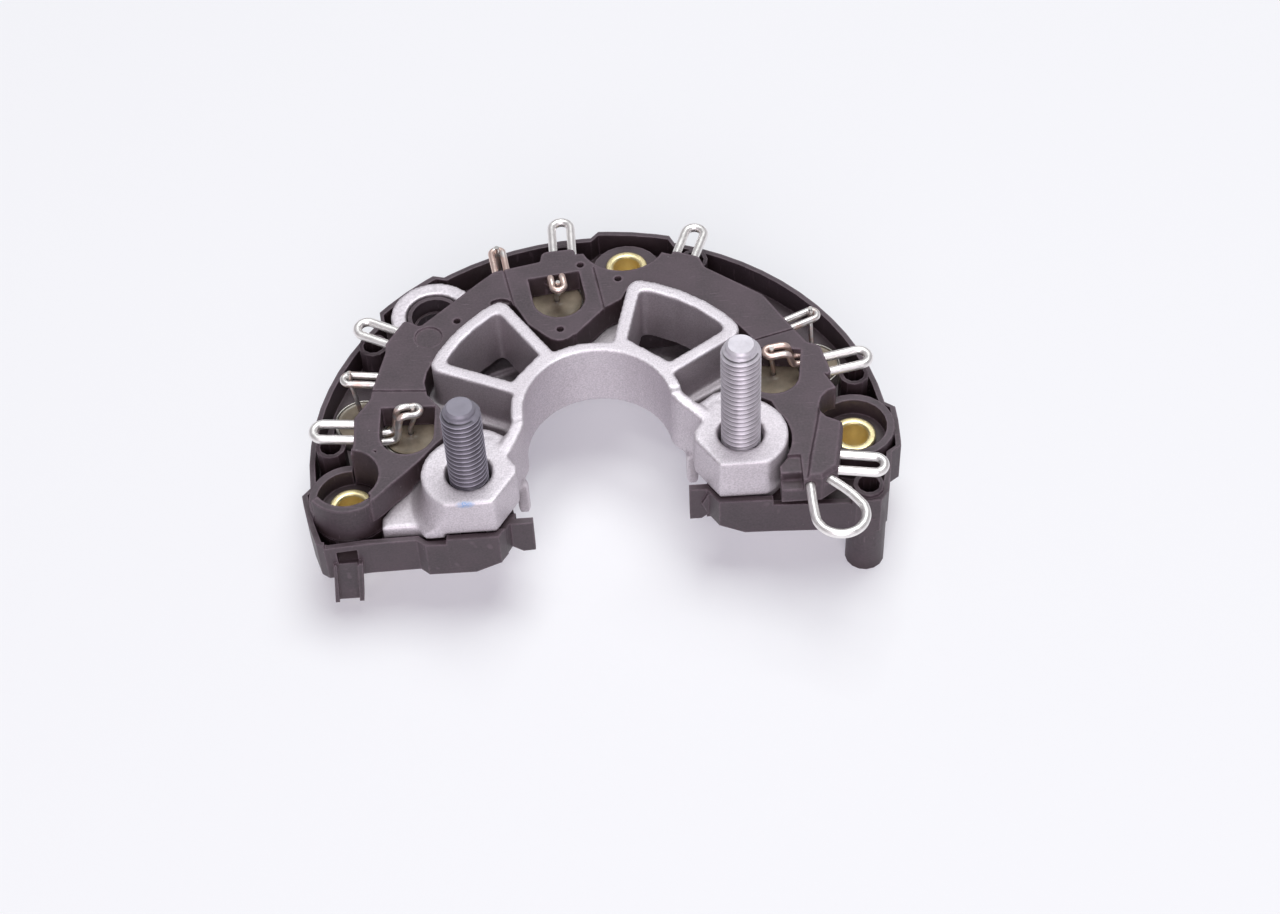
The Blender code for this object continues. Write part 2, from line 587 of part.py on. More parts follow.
def insulator_tray():
    """Moulded tray: rim wall, floor with posts and cups, wire guides that stand on the ground, foot and catches."""
    tray = prism("insulator_tray", tray_outline(), RIM_BOTTOM, RIM_TOP)
    join(tray, prism("left_wall", [(LEFT_WALL_LEFT, -23.66), (-21.25, -23.69), (-19.8, -21.6), (LEFT_WALL_LEFT, -21.6)],
                     RIM_BOTTOM + 2, LEFT_BOSS_BOTTOM - GAP))
    inner = list(TRENCH_RIGHT_FRONT)
    inner += rim_points(TRAY_RADIUS - TRAY_WALL)
    inner += TRENCH_LEFT_FRONT
    front_gap = [(-14.0, -16.0), (-14.0, 16.0), (0.0, 17.0), (14.0, 12.0), (16.0, -9.0)]
    lower_inner = inner + [(-20.4, -12.8), (-23.2, -10.4), (-23.5, -5.6)]
    lower_inner += arc((0, 0), INNER_EDGE + 1.5, 188.0, 10.0, 22)
    lower_inner += [(26.2, -0.6), (26.2, -6.0), (22.9, -10.4)]
    trench = prism("trench", inner + front_gap, TRENCH_FLOOR, RIM_TOP + 3)
    raised = prism("raised", plate_outline_grown(), TRENCH_FLOOR - 1, PLATE_TOP - PLATE_THICK - GAP)
    cut(trench, raised)
    cut(tray, trench)
    cut(tray, prism("under", lower_inner, RIM_BOTTOM - 1, FLOOR_BOTTOM))
    for outline in TRAY_WINDOWS:
        cut(tray, prism("window", outline, RIM_BOTTOM - 1, RIM_TOP + 1))
    posts = [floor_rib(centre) for centre in guide_centres() + [centre for name, centre in RIVETS]]
    for name, centre in RIVETS:
        if name == "rivet_top":
            posts.append(cylinder("post", centre, TOP_PAD_RADIUS, TRENCH_FLOOR - 1, RIVET_SEAT))
        elif name == "rivet_left":
            posts.append(cylinder("post", centre, CUP_OUTER, TRENCH_FLOOR - 1, RIVET_SEAT))
            posts.append(ring_sector("cup", centre, CUP_INNER, CUP_OUTER, COLLAR_END + COLLAR_SEAM,
                                     COLLAR_START + 360 - COLLAR_SEAM, RIVET_SEAT - 1, CUP_TOP, 14))
        else:
            posts.append(cylinder("post", centre, CUP_OUTER, TRENCH_FLOOR - 1, CUP_TOP))
    join(tray, *posts)
    for name, centre in RIVETS:
        if name == "rivet_right":
            cut(tray, cylinder("cup", centre, CUP_INNER, RIVET_SEAT, CUP_TOP + 1))
        cut(tray, cylinder("bore", centre, RIVET_TUBE + GAP, RIM_BOTTOM - 1, CUP_TOP + 1, 16))
    for centre, top in zip(guide_centres(), GUIDE_TOPS):
        join(tray, cylinder("guide", centre, GUIDE_OUTER, TRENCH_FLOOR - 0.5, top, 12))
        join(tray, cylinder("leg", centre, FOOT_RADIUS, FEET_BOTTOM, TRENCH_FLOOR - 0.2, 16))
    for centre in guide_centres():
        cut(tray, cylinder("bore", centre, GUIDE_INNER, FEET_BOTTOM - 1, RIM_TOP + 4, 10))
    for centre in NEGATIVE_DIODES:
        cut(tray, cylinder("window", centre, CAN_RADIUS + 0.5, RIM_BOTTOM - 1, TRENCH_FLOOR + 5, 20))
    cut(tray, cylinder("window", EAR, EAR_RADIUS + GAP, RIM_BOTTOM - 1, RIM_TOP + 3))
    cut(tray, box("left_front", -56.2, -31.8, -26.0, -20.4, LEFT_FRONT_TOP, RIM_TOP + 3))
    cut(tray, box("right_front", 34.2, 50.0, -26.0, -16.4, RIGHT_FRONT_TOP, RIM_TOP + 3))
    cut(tray, upright("right_corner", [(16.0, RIM_BOTTOM - 2.0), (28.5, RIM_BOTTOM - 2.0), (28.5, RIM_BOTTOM),
                                       (23.4, RIM_BOTTOM + 2.6), (16.0, RIM_BOTTOM + 2.6)], -20.0, -13.2),
        upright("left_corner", [(-14.0, RIM_BOTTOM - 2.0), (-26.5, RIM_BOTTOM - 2.0), (-26.5, RIM_BOTTOM),
                                (-21.3, RIM_BOTTOM + 2.6), (-14.0, RIM_BOTTOM + 2.6)], -26.0, -17.0))
    join(tray, upright("foot", foot_outline(0.0, RIM_BOTTOM + 4.7, CLIP_FOOT_BOTTOM), -23.5, -21.3))
    cut(tray, upright("channel", foot_outline(FOOT_FLANGE, LEFT_FRONT_TOP - 1.4, CLIP_FOOT_BOTTOM - 1), -26.0, -22.7),
        box("window", FOOT_LEFT + FOOT_FLANGE, FOOT_RIGHT - FOOT_FLANGE, -26.0, -19.0, TRENCH_FLOOR, LEFT_FRONT_TOP - 1.4))
    low = RIM_BOTTOM + 1.0
    join(tray, upright("left_tab", [(-14.3, RIM_TOP), (-18.9, RIM_TOP), (-18.9, low + 1.9), (-16.8, low + 0.2),
                                    (-14.3, low + 0.4)], -20.0, -18.5),
         upright("right_tab", [(17.5, RIM_TOP), (21.6, RIM_TOP), (21.6, low + 1.5), (19.9, low - 0.1),
                               (17.5, low - 0.1)], -14.2, -12.7),
         upright("left_point", [(-18.4, RIM_TOP - 0.5), (-16.6, RIM_TOP - 3.8), (-18.4, low + 1.2)], -19.0, -17.3),
         upright("right_point", [(21.4, RIM_TOP - 0.5), (19.9, RIM_TOP - 3.8), (21.4, low + 1.5)], -14.9, -13.8))
    return finish(tray, BLACK, 0.5)


def floor_rib(centre):
    """Rib inside the tray's floor that ties a guide or a post to the middle of the tray."""
    start = Vector(centre).normalized() * (PLATE_RADIUS - 2)
    path = [tuple(start), centre]
    return wall("rib", path, 2 * RIVET_BORE, FLOOR_BOTTOM + RIB_COVER, [TRENCH_FLOOR - RIB_COVER] * 2)


def foot_outline(margin, top, bottom):
    """Front view of the foot at the left front, which leans outwards as it goes down."""
    lean = FOOT_LEAN / (RIM_BOTTOM + 4.7 - CLIP_FOOT_BOTTOM)
    points = []
    for x, z in ((FOOT_LEFT + margin, top), (FOOT_RIGHT - margin, top), (FOOT_RIGHT - margin, bottom),
                 (FOOT_LEFT + margin, bottom)):
        points.append((x - max(RIM_BOTTOM + 4.7 - z, 0.0) * lean, z))
    return points


def plate_outline_grown():
    """Raised middle of the tray floor, just outside the plate that stands on it."""
    outline = [(38.5, -17.5)]
    outline += arc((0, 0), PLATE_RADIUS + GAP, -22.0, 197.0, 40)
    outline += [(-45.0, -22.5), (-20.0, -22.5), (-10.0, -12.0)]
    outline += arc((0, 0), BORE_RADIUS - 2, 200.0, -20.0, 12)
    outline += [(20.0, -17.5)]
    return outline


def negative_heat_sink():
    """Flat heat sink under the tray floor, with the raised ear that stands up through the tray."""
    top = FLOOR_BOTTOM - GAP
    bottom = top - NEGATIVE_THICK
    edge = TRAY_RADIUS - TRAY_WALL - GAP
    outline = [(27.4, -14.9), (36.8, -15.2), (36.8, -16.4), (47.5, -16.4)]
    outline += arc((0, 0), edge, -10.0, 197.5, 36)
    outline += [(-53.8, -20.7), (-47.0, -20.2), (-22.4, -20.8), (-20.2, -17.4), (-21.0, -13.1), (-23.7, -10.6),
                (-23.9, -5.6)]
    outline += arc((0, 0), INNER_EDGE + 1.9, 188.0, 10.0, 22)
    outline += [(26.6, -0.4), (26.6, -6.3), (25.4, -12.6)]
    sink = prism("negative_heat_sink", outline, bottom, top)
    join(sink, cylinder("ear", EAR, EAR_RADIUS, top - 1, EAR_TOP, 32), prism("step", NEGATIVE_STEP, top - 1, top + 1.0))
    cut(sink, cylinder("hole", EAR, EAR_HOLE, top + 1.5, EAR_TOP + 1, 24))
    cut(sink, cylinder("bore", EAR, EAR_BORE, bottom - 1, EAR_TOP, 16))
    for centre in guide_centres():
        cut(sink, cylinder("room", centre, FOOT_RADIUS + 2 * GAP, bottom - 1, EAR_TOP, 14))
    for centre in NEGATIVE_DIODES:
        cut(sink, cylinder("seat", centre, CAN_RADIUS + GAP, bottom - 1, top + 1, 20))
    for name, centre in RIVETS:
        cut(sink, cylinder("bore", centre, RIVET_TUBE + GAP, bottom - 1, top + 1, 16))
    return finish(sink, PLATE_GREY, 0.4, 1.0)


def ear_liner():
    """Black bush that lines the hole of the ear."""
    bottom = FLOOR_BOTTOM - GAP + 1.5 + GAP
    outer = EAR_HOLE - GAP
    inner = outer - EAR_LINER_WALL
    top = EAR_TOP - 0.5
    profile = [(EAR_BORE, bottom), (outer, bottom), (outer, top), (inner, top), (inner, bottom + 3.0),
               (EAR_BORE, bottom + 3.0)]
    return finish(turned("ear_liner", EAR, profile, 20), BLACK, 0.5)


def board_outline():
    """Wiring board: tabs behind the loops, hollows round two rivets and a lobe between the pockets."""
    outer = rounded((
        (-45.0, -5.6, 0), (-49.6, -5.6, 0.5), (-49.7, 3.2, 1.2), (-46.4, 8.4, 1.2), (-46.2, 10.5, 0),
        (-43.6, 20.8, 1), (-43.6, 23.4, 1), (-39.6, 30.0, 1), (-36.4, 27.8, 1), (-24.0, 39.6, 2),
        (-20.6, 42.6, 2), (-10.6, 44.8, 0.6), (-10.2, 47.6, 1.4), (-1.8, 48.2, 1.0)), 3)
    outer += arc((7.5, 50.0), 9.4, 202.0, 331.0, 14)
    outer += rounded(((16.6, 46.3, 0.6), (23.6, 43.4, 1.6), (24.6, 40.2, 1.0), (36.3, 30.9, 1.5),
                      (41.4, 21.4, 0), (44.2, 16.5, 1.2), (46.8, 15.4, 1.4), (49.0, 4.9, 0.8)), 3)[0:]
    outer += [(48.9, 3.4), (47.1, 2.8), (45.7, 1.3), (45.0, -0.6), (45.0, -2.6), (46.2, -4.4), (49.1, -6.0),
              (49.1, -7.6), (47.0, -18.0), (43.6, -20.4), (35.6, -20.4), (35.6, -15.9)]
    inner = arc(RIGHT_STUD, BOSS_RADIUS + 0.7, -35.0, 38.0, 8)
    inner += [(35.4, 0.8), (30.2, 3.9), (29.4, 13.6), (30.8, 17.0)]
    inner += arc((0, 0), 37.9, 29.5, 75.5, 12)
    inner += [(7.9, 35.4), (6.3, 32.2), (2.8, 30.1), (-3.6, 22.9)]
    inner += arc((-7.0, 25.0), 3.6, -38.0, -140.0, 5)
    inner += [(-13.6, 26.6), (-15.6, 30.9)]
    inner += arc((0, 0), 37.9, 117.0, 157.0, 12)
    inner += [(-35.4, 12.0), (-34.8, 8.4), (-32.1, 4.6), (-31.6, -3.6), (-33.2, -5.2),
              (-36.2, -9.0), (-39.2, -12.2), (-41.9, -14.8), (-44.0, -17.2), (-45.3, -18.35), (-46.1, -18.75)]
    return outer + inner


def diode_window(name, centre, heading):
    """Opening over one positive diode: square behind, round in front."""
    shape = [(-5.6, -4.8), (-5.6, 2.2), (5.5, 2.2), (5.5, -4.8)]
    shape += arc((0.0, -4.8), 5.6, 0.0, -180.0, 12)[1:-1]
    obj = prism(name, shape, BOARD_TOP - BOARD_THICK - 1, BOARD_TOP + 1)
    obj.data.transform(turn_and_move(heading, *centre))
    return obj


def wiring_board():
    """Moulded board that carries the loops, with its collar round the left rivet and a raised pad at the right."""
    bottom = BOARD_TOP - BOARD_THICK
    board = prism("wiring_board", board_outline(), bottom, BOARD_TOP)
    join(board, tapered("pad", BOARD_PAD, PAD_BEVEL, BOARD_TOP - 1, BOARD_TOP, BOARD_TOP + PAD_RISE))
    cut(board, box("shelf", 34.0, 39.9, -17.8, -13.7, BOARD_TOP - 0.8, BOARD_TOP + 2),
        box("ledge", 34.0, 39.9, -22.0, -17.7, BOARD_TOP - 3.0, BOARD_TOP + 2))
    cut(board, cylinder("skirt_room", LEFT_STUD, BOSS_RADIUS + SKIRT[0][0], bottom - 1, bottom + SKIRT_ROOM, 32))
    rivet = dict(RIVETS)["rivet_left"]
    low = RIVET_SEAT + GAP
    join(board, ring_sector("collar", rivet, CUP_INNER, CUP_OUTER, COLLAR_START, COLLAR_END, low, COLLAR_TOP, 22),
         ring_sector("collar_side", rivet, CUP_INNER - 0.1, CUP_OUTER - 0.1, -46.0, COLLAR_END - 4, low, BOARD_TOP, 14))
    cut(board, cylinder("hollow", rivet, CUP_INNER, low - 1, BOARD_TOP + 1))
    for centre, heading in zip(POSITIVE_DIODES, (8.0, -2.0, -8.0)):
        cut(board, diode_window("window", centre, heading),
            cylinder("room", centre, CAN_RADIUS + GAP, bottom - 1, POSITIVE_CAN_TOP + GAP, 20))
    for x, y in PIN_HOLES:
        cut(board, cylinder("pin_hole", (x, y), 0.8, BOARD_TOP - 1.6, BOARD_TOP + 1, 10))
    cut(board, cylinder("recess", (-34.6, 24.7), 2.9, BOARD_TOP - 0.35, BOARD_TOP + 1, 20))
    oval = [(-19.4 + 2.1 * math.cos(a * math.pi / 8), 33.4 + 1.1 * math.sin(a * math.pi / 8)) for a in range(16)]
    cut(board, prism("oval", oval, BOARD_TOP - 0.8, BOARD_TOP + 1))
    for (x0, y0), (x1, y1) in BOARD_SEAMS:
        length = math.hypot(x1 - x0, y1 - y0)
        seam = box("seam", 0, length, -0.15, 0.15, BOARD_TOP - 0.4, BOARD_TOP + 1)
        seam.data.transform(turn_and_move(math.degrees(math.atan2(y1 - y0, x1 - x0)), x0, y0))
        cut(board, seam)
    for centre, heading in LOOPS:
        for leg in loop_sockets(centre, heading):
            cut(board, leg)
    for path in clip_paths():
        for foot in clip_sockets(path):
            cut(board, foot)
    for foot in tap_sockets():
        cut(board, foot)
    return finish(board, BLACK, 0.45)


def local_points(centre, heading, points):
    """Plan points given along and across a heading, placed on the part."""
    angle = math.radians(heading)
    placed = []
    for along, across, height in points:
        x = centre[0] + along * math.cos(angle) - across * math.sin(angle)
        y = centre[1] + along * math.sin(angle) + across * math.cos(angle)
        placed.append((x, y, height))
    return placed


def hairpin(reach, half_width, start, height, steps=7):
    """Path of a flat wire loop: out along one leg, round the end and back."""
    points = [(start, -half_width, height)]
    for along, across in arc((reach - half_width, 0.0), half_width, -90.0, 90.0, steps):
        points.append((along, across, height))
    points.append((start, half_width, height))
    return points


def loop_sockets(centre, heading):
    """Round sockets in the edge of the board for the two legs of one stator loop."""
    tools = []
    for across in (-LOOP_HALF_WIDTH, LOOP_HALF_WIDTH):
        ends = local_points(centre, heading, [(-LOOP_SOCKET - GAP, across, LOOP_Z), (3.0, across, LOOP_Z)])
        tools.append(swept("socket", ends, WIRE_RADIUS + 0.2, 8))
    return tools


def stator_loop(index):
    """One tinned wire loop that takes a stator wire."""
    centre, heading = LOOPS[index]
    path = hairpin(LOOP_LENGTH - WIRE_RADIUS, LOOP_HALF_WIDTH, -LOOP_SOCKET, LOOP_Z)
    loop = swept("stator_loop_%d" % (index + 1), local_points(centre, heading, path), WIRE_RADIUS)
    return finish(loop, TINNED, 0.25, 1.0)


def clip_paths():
    """Path of every small clip: from its sockets in the board out to the eye round the lead."""
    paths = []
    for name, tip, heading, reach, eye_z, foot_z in CLIPS:
        points = [(-reach - CLIP_SOCKET, -CLIP_HALF_WIDTH, foot_z), (-reach + 1.1, -CLIP_HALF_WIDTH, foot_z),
                  (-reach + 2.5, -CLIP_HALF_WIDTH, eye_z)]
        for along, across in arc((0.2, 0.0), CLIP_HALF_WIDTH, -90.0, 90.0, 8):
            points.append((along, across, eye_z))
        points += [(-reach + 2.5, CLIP_HALF_WIDTH, eye_z), (-reach + 1.1, CLIP_HALF_WIDTH, foot_z),
                   (-reach - CLIP_SOCKET, CLIP_HALF_WIDTH, foot_z)]
        paths.append((name, local_points(tip, heading, points)))
    return paths


def clip_sockets(path):
    """Sockets for the two feet of a clip."""
    name, points = path
    tools = []
    for foot in (points[:3], points[:-4:-1]):
        direction = (Vector(foot[0]) - Vector(foot[1])).normalized()
        tools.append(swept("socket", [Vector(foot[0]) + direction * GAP, foot[1], foot[2]], CLIP_WIRE + 0.2, 6))
    return tools


def clips():
    """The six small clips round the diode leads."""
    made = []
    for name, points in clip_paths():
        made.append(finish(swept(name, points, CLIP_WIRE, 6), COPPER, 0.35, 1.0))
    return made


def tap_path():
    """Path of the open eye at the right front end of the board."""
    plan = [(41.3, -17.4), (41.2, -21.5), (41.2, -26.0)]
    plan += arc(TAP_EYE, TAP_RADIUS, 190.0, 388.0, 13)
    plan += [(48.6, -22.5), (45.0, -18.8)]
    return [(x, y, LOOP_Z) for x, y in plan]


def tap_sockets():
    """Sockets for the two ends of the open eye."""
    points = tap_path()
    tools = []
    for first, second in ((points[0], points[1]), (points[-1], points[-2])):
        direction = (Vector(first) - Vector(second)).normalized()
        tools.append(swept("socket", [Vector(first) + direction * GAP, Vector(second) - direction * 1.0],
                           WIRE_RADIUS + 0.2, 8))
    return tools


def tap_loop():
    """Open wire eye at the right front end of the board."""
    return finish(swept("tap_loop", tap_path(), WIRE_RADIUS), TINNED, 0.25, 1.0)


def stud(name, centre, top):
    """Threaded output stud; its head sits in the underside of the heat sink."""
    bottom = PLATE_TOP - PLATE_THICK
    tip = STUD_RADIUS - STUD_CHAMFER * 0.95
    profile = [(0, bottom), (STUD_HEAD_RADIUS, bottom), (STUD_HEAD_RADIUS, bottom + STUD_HEAD_THICK),
               (STUD_RADIUS, bottom + STUD_HEAD_THICK), (STUD_RADIUS, top - STUD_CHAMFER), (tip, top), (0, top)]
    return finish(turned(name, centre, profile, 24), ZINC, 0.4, 1.0)


def rivet(name, centre):
    """Hollow rivet through the tray and the negative heat sink."""
    top = RIVET_SEAT + GAP + RIVET_FLANGE_THICK
    seat = RIVET_SEAT + GAP
    under = FLOOR_BOTTOM - GAP - NEGATIVE_THICK - GAP
    profile = [(RIVET_BORE, under - 0.8), (RIVET_FLANGE, under - 0.8), (RIVET_FLANGE, under), (RIVET_TUBE, under),
               (RIVET_TUBE, seat), (RIVET_FLANGE, seat), (RIVET_FLANGE, top - 0.4), (RIVET_FLANGE - 0.5, top),
               (RIVET_BORE + 0.5, top), (RIVET_BORE, top - 0.6)]
    return finish(turned(name, centre, profile, 18), YELLOW, 0.35, 1.0)


def diode(kind, index, centre, tip, can_bottom, can_top, tip_top):
    """Press-fit diode: metal can, resin disc and the lead that leaves it."""
    lip = CAN_RADIUS - RESIN_RADIUS - GAP
    profile = [(0, can_bottom), (CAN_RADIUS, can_bottom), (CAN_RADIUS, can_top),
               (CAN_RADIUS - lip, can_top), (CAN_RADIUS - lip, can_top - RESIN_THICK), (0, can_top - RESIN_THICK)]
    can = turned("%s_diode_can_%d" % (kind, index), centre, profile, 15)
    low = can_top - RESIN_THICK + GAP
    socket = LEAD_RADIUS + 0.15
    high = can_top + 0.25
    profile = [(0, low), (RESIN_RADIUS, low), (RESIN_RADIUS, high - 0.3), (1.7, high), (1.1, high + 0.5),
               (socket, high + 0.5), (socket, low + 0.3), (0, low + 0.3)]
    resin = turned("%s_diode_resin_%d" % (kind, index), centre, profile, 12)
    path = [(centre[0], centre[1], low + 0.5), (centre[0], centre[1], high + 1.6)]
    path += [(tip[0], tip[1], tip_top - 3.4), (tip[0], tip[1], tip_top)]
    lead = swept("%s_diode_lead_%d" % (kind, index), path, LEAD_RADIUS, 6)
    finish(can, (0.55, 0.52, 0.5), 0.45, 1.0)
    finish(resin, RESIN, 0.5)
    finish(lead, COPPER, 0.35, 1.0)


def set_on_feet():
    """Move every piece so that the part stands on the ground with its middle over the origin."""
    low = Vector((1e9, 1e9, 1e9))
    high = -low
    for obj in bpy.data.objects:
        for vert in obj.data.vertices:
            for axis in range(3):
                low[axis] = min(low[axis], vert.co[axis])
                high[axis] = max(high[axis], vert.co[axis])
    shift = Vector((-(low.x + high.x) / 2, -(low.y + high.y) / 2, -low.z))
    for obj in bpy.data.objects:
        for vert in obj.data.vertices:
            vert.co += shift
    return shift


def build():
    """Make every piece of the rectifier."""
    for obj in list(bpy.data.objects):
        bpy.data.objects.remove(obj)
    positive_heat_sink()
    insulator_tray()
    negative_heat_sink()
    ear_liner()
    wiring_board()
    for index in range(len(LOOPS)):
        stator_loop(index)
    clips()
    tap_loop()
    stud("stud_left", LEFT_STUD, LEFT_STUD_TOP)
    stud("stud_right", RIGHT_STUD, RIGHT_STUD_TOP)
    for name, centre in RIVETS:
        rivet(name, centre)
    negative_bottom = FLOOR_BOTTOM - GAP - NEGATIVE_THICK
    for index in range(3):
        diode("positive", index + 1, POSITIVE_DIODES[index], POSITIVE_TIPS[index],
              PLATE_TOP - PLATE_THICK, POSITIVE_CAN_TOP, POSITIVE_TIP_TOP)
        diode("negative", index + 1, NEGATIVE_DIODES[index], NEGATIVE_TIPS[index],
              negative_bottom, NEGATIVE_CAN_TOP, NEGATIVE_TIP_TOP)
    return set_on_feet()


build()
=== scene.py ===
"""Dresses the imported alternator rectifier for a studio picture.

The castings, mouldings and wires get rounded edges and surfaces of their own, and the studs get
their threads. Places and paths are in millimetres in the drawing's frame, whose origin is on the
axis of the bore ring at its top face, and place() turns them into metres in the frame of the
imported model. Lengths in the properties, the materials and the node trees are in metres.
"""

import math

import bmesh
import bpy
from bpy.props import FloatProperty, FloatVectorProperty, IntProperty, PointerProperty
from mathutils import Matrix, Vector


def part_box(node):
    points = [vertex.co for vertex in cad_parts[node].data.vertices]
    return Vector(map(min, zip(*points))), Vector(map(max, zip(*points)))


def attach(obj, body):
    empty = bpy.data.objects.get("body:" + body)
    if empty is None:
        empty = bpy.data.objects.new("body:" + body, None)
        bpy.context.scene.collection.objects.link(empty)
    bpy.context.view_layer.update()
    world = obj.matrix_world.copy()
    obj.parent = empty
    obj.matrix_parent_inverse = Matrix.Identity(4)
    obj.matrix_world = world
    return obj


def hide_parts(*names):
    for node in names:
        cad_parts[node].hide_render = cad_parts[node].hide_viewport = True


bl_info = {
    "name": "Alternator Rectifier Dressing",
    "version": (1, 0, 0),
    "blender": (4, 5, 0),
    "location": "View3D > Sidebar > Rectifier",
    "description": "Adds rounded edges, threads, wires, surfaces and a studio to the rectifier",
    "category": "Object",
}

MM = 0.001
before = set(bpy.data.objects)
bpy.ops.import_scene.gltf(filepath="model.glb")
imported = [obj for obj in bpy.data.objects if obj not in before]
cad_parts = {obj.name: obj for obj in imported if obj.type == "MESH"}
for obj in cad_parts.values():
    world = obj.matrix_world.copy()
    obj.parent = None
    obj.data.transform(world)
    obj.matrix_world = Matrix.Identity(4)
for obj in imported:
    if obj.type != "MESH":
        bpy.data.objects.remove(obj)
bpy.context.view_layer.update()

# places that the drawing shares with the solids
LEFT_STUD = (-26.3, -14.3)
LOOP_Z = -4.7
LOOPS = (((-49.8, 1.0), 174.0), ((-42.2, 26.6), 151.0), ((-5.7, 49.8), 91.0),
         ((21.0, 46.0), 70.0), ((48.4, 11.5), 12.0), ((48.2, -15.1), -10.0))
TAP_START = ((41.3, -17.4), (41.25, -21.5), (41.3, -26.0))
TAP_EYE = (46.45, -28.1)
TAP_RADIUS = 5.0
TAP_END = ((48.6, -22.5), (45.0, -18.8))
DIODES = {
    "positive": ((-7.5, 38.4), (-38.7, 3.2), (37.0, 13.2)),
    "negative": ((-49.5, 12.7), (-19.4, 47.0), (46.0, 21.0)),
}
LEAD_TIPS = {
    "positive": ((-6.9, 36.4), (-37.6, 3.4), (36.6, 13.4)),
    "negative": ((-51.0, 15.5), (-19.9, 49.4), (45.9, 25.6)),
}
RIVETS = {"rivet_top": (8.05, 51.5), "rivet_left": (-51.1, -11.8), "rivet_right": (52.4, -1.0)}
INK_MARK = (-27.0, -22.5, -1.5)

# wires
WIRE_RADIUS = 0.95
WIRE_SPACING = 0.35          # between two rings of points along a loop
LOOP_SOCKET = 3.0            # how far a leg runs into the board
LOOP_HALF = 2.05             # half the distance between the two legs
LOOP_REACH = 8.45            # from the board's edge to the far end of the bend
CLIP_RADIUS = 0.72
CLIP_SPACING = 0.25
CLIP_SOCKET = 2.2
CLIP_HALF = 1.25
LEAD_RADIUS = 0.5
LEAD_SIDES = 12
LEAD_SPACING = 0.3

# small clips: name, tip of the lead, heading, distance from eye to foot, heights of eye and foot,
# share of bare copper
CLIPS = (
    ("negative_clip_1", LEAD_TIPS["negative"][0], 172.0, 4.6, -4.6, -4.6, 0.5),
    ("negative_clip_2", LEAD_TIPS["negative"][1], 98.0, 6.0, -4.6, -4.6, 0.95),
    ("negative_clip_3", LEAD_TIPS["negative"][2], 25.0, 4.6, -4.6, -4.6, 0.5),
    ("positive_clip_1", LEAD_TIPS["positive"][0], -82.0, 5.0, -2.0, -5.0, 0.95),
    ("positive_clip_2", LEAD_TIPS["positive"][1], 14.0, 5.4, -2.0, -7.6, 0.5),
    ("positive_clip_3", LEAD_TIPS["positive"][2], 184.0, 5.6, -2.0, -5.0, 0.95),
)

# turned pieces
STUD_RADIUS = 3.98
THREAD_SIDES = 64
THREAD_ROWS = 10.0           # rows of points in one turn
POINT_LEVEL = 0.18           # tone of a stud's plain point, from 0 for a crest to 1 for a root, between painted highlight and painted shade
RIVET_BORE = 2.6
RIVET_THROAT = 2.85
RIVET_TUBE = 3.6
RIVET_FLANGE = 4.6
CAN_RADIUS = 6.05
CAN_RIM = 0.19               # radius of the rounded rim
CAN_INNER = 5.65
RESIN_RADIUS = 5.4
MENISCUS = ((5.4, 0.02), (5.2, -0.1), (4.6, -0.06), (3.2, 0.0), (1.6, 0.03), (1.0, 0.12), (0.75, 0.4),
            (0.65, 0.4))     # radius, and height over the can's rim

# studs: node, slot, colour, roughness, brightness of the painted highlight on the crests, how metallic
# they are
STUDS = (
    ("stud_left", "dark_zinc_steel", "dark_zinc", 0.48, 3.1, 0.4),
    ("stud_right", "zinc_steel", "zinc", 0.42, 1.4, 0.5),
)

# roughness of the other surfaces
CAST_ROUGHNESS = 0.56
PLATE_ROUGHNESS = 0.5
TRAY_ROUGHNESS = 0.46
BOARD_ROUGHNESS = 0.58
TIN_ROUGHNESS = 0.38
COPPER_ROUGHNESS = 0.36
LEAD_ROUGHNESS = 0.35
RIVET_ROUGHNESS = 0.36
CAN_ROUGHNESS = 0.4
RESIN_ROUGHNESS = 0.3
PAPER_ROUGHNESS = 0.8

# studio: lamps are name, place and side in metres, power in watts and colour
LAMPS = (
    ("key", (0.18, 0.34, 1.82), 1.1, 26.0, (0.95, 1.0, 0.99)),
    ("fill", (-0.05, -1.42, 1.0), 1.1, 14.5, (1.0, 0.94, 1.0)),
)
FLOOR_HALF = 4000.0
FLOOR_DROP = 0.02            # keeps the floor clear of the feet's faces
PAPER_GLOW = (0.295, 0.285, 0.33)
SKY_COLOUR = (1.0, 0.96, 1.0, 1.0)
SKY_LIGHT = 0.12
SKY_SHOWN = 0.78
SKY_MIRRORED = 0.2
CAMERA_TARGET = (7.87, -14.31, 0.0)
CAMERA_DISTANCE = 456.87
CAMERA_ELEVATION = 50.0
CAMERA_AZIMUTH = -0.82
CAMERA_ROLL = -3.01
CAMERA_LENS = 64.815
CAMERA_SENSOR = 36.0


def box_middle(node):
    """Middle of a CAD node's box."""
    low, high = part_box(node)
    return (low + high) / 2


def drawing_origin():
    """Origin of the drawing, in millimetres in the model's frame."""
    stud = box_middle("stud_left")
    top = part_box("positive_heat_sink")[1].z / MM
    return Vector((stud.x / MM - LEFT_STUD[0], stud.y / MM - LEFT_STUD[1], top))


ORIGIN = drawing_origin()


def place(x, y, z):
    """Point of the drawing, in metres in the model's frame."""
    return (Vector((x, y, z)) + ORIGIN) * MM


# properties that a user would change

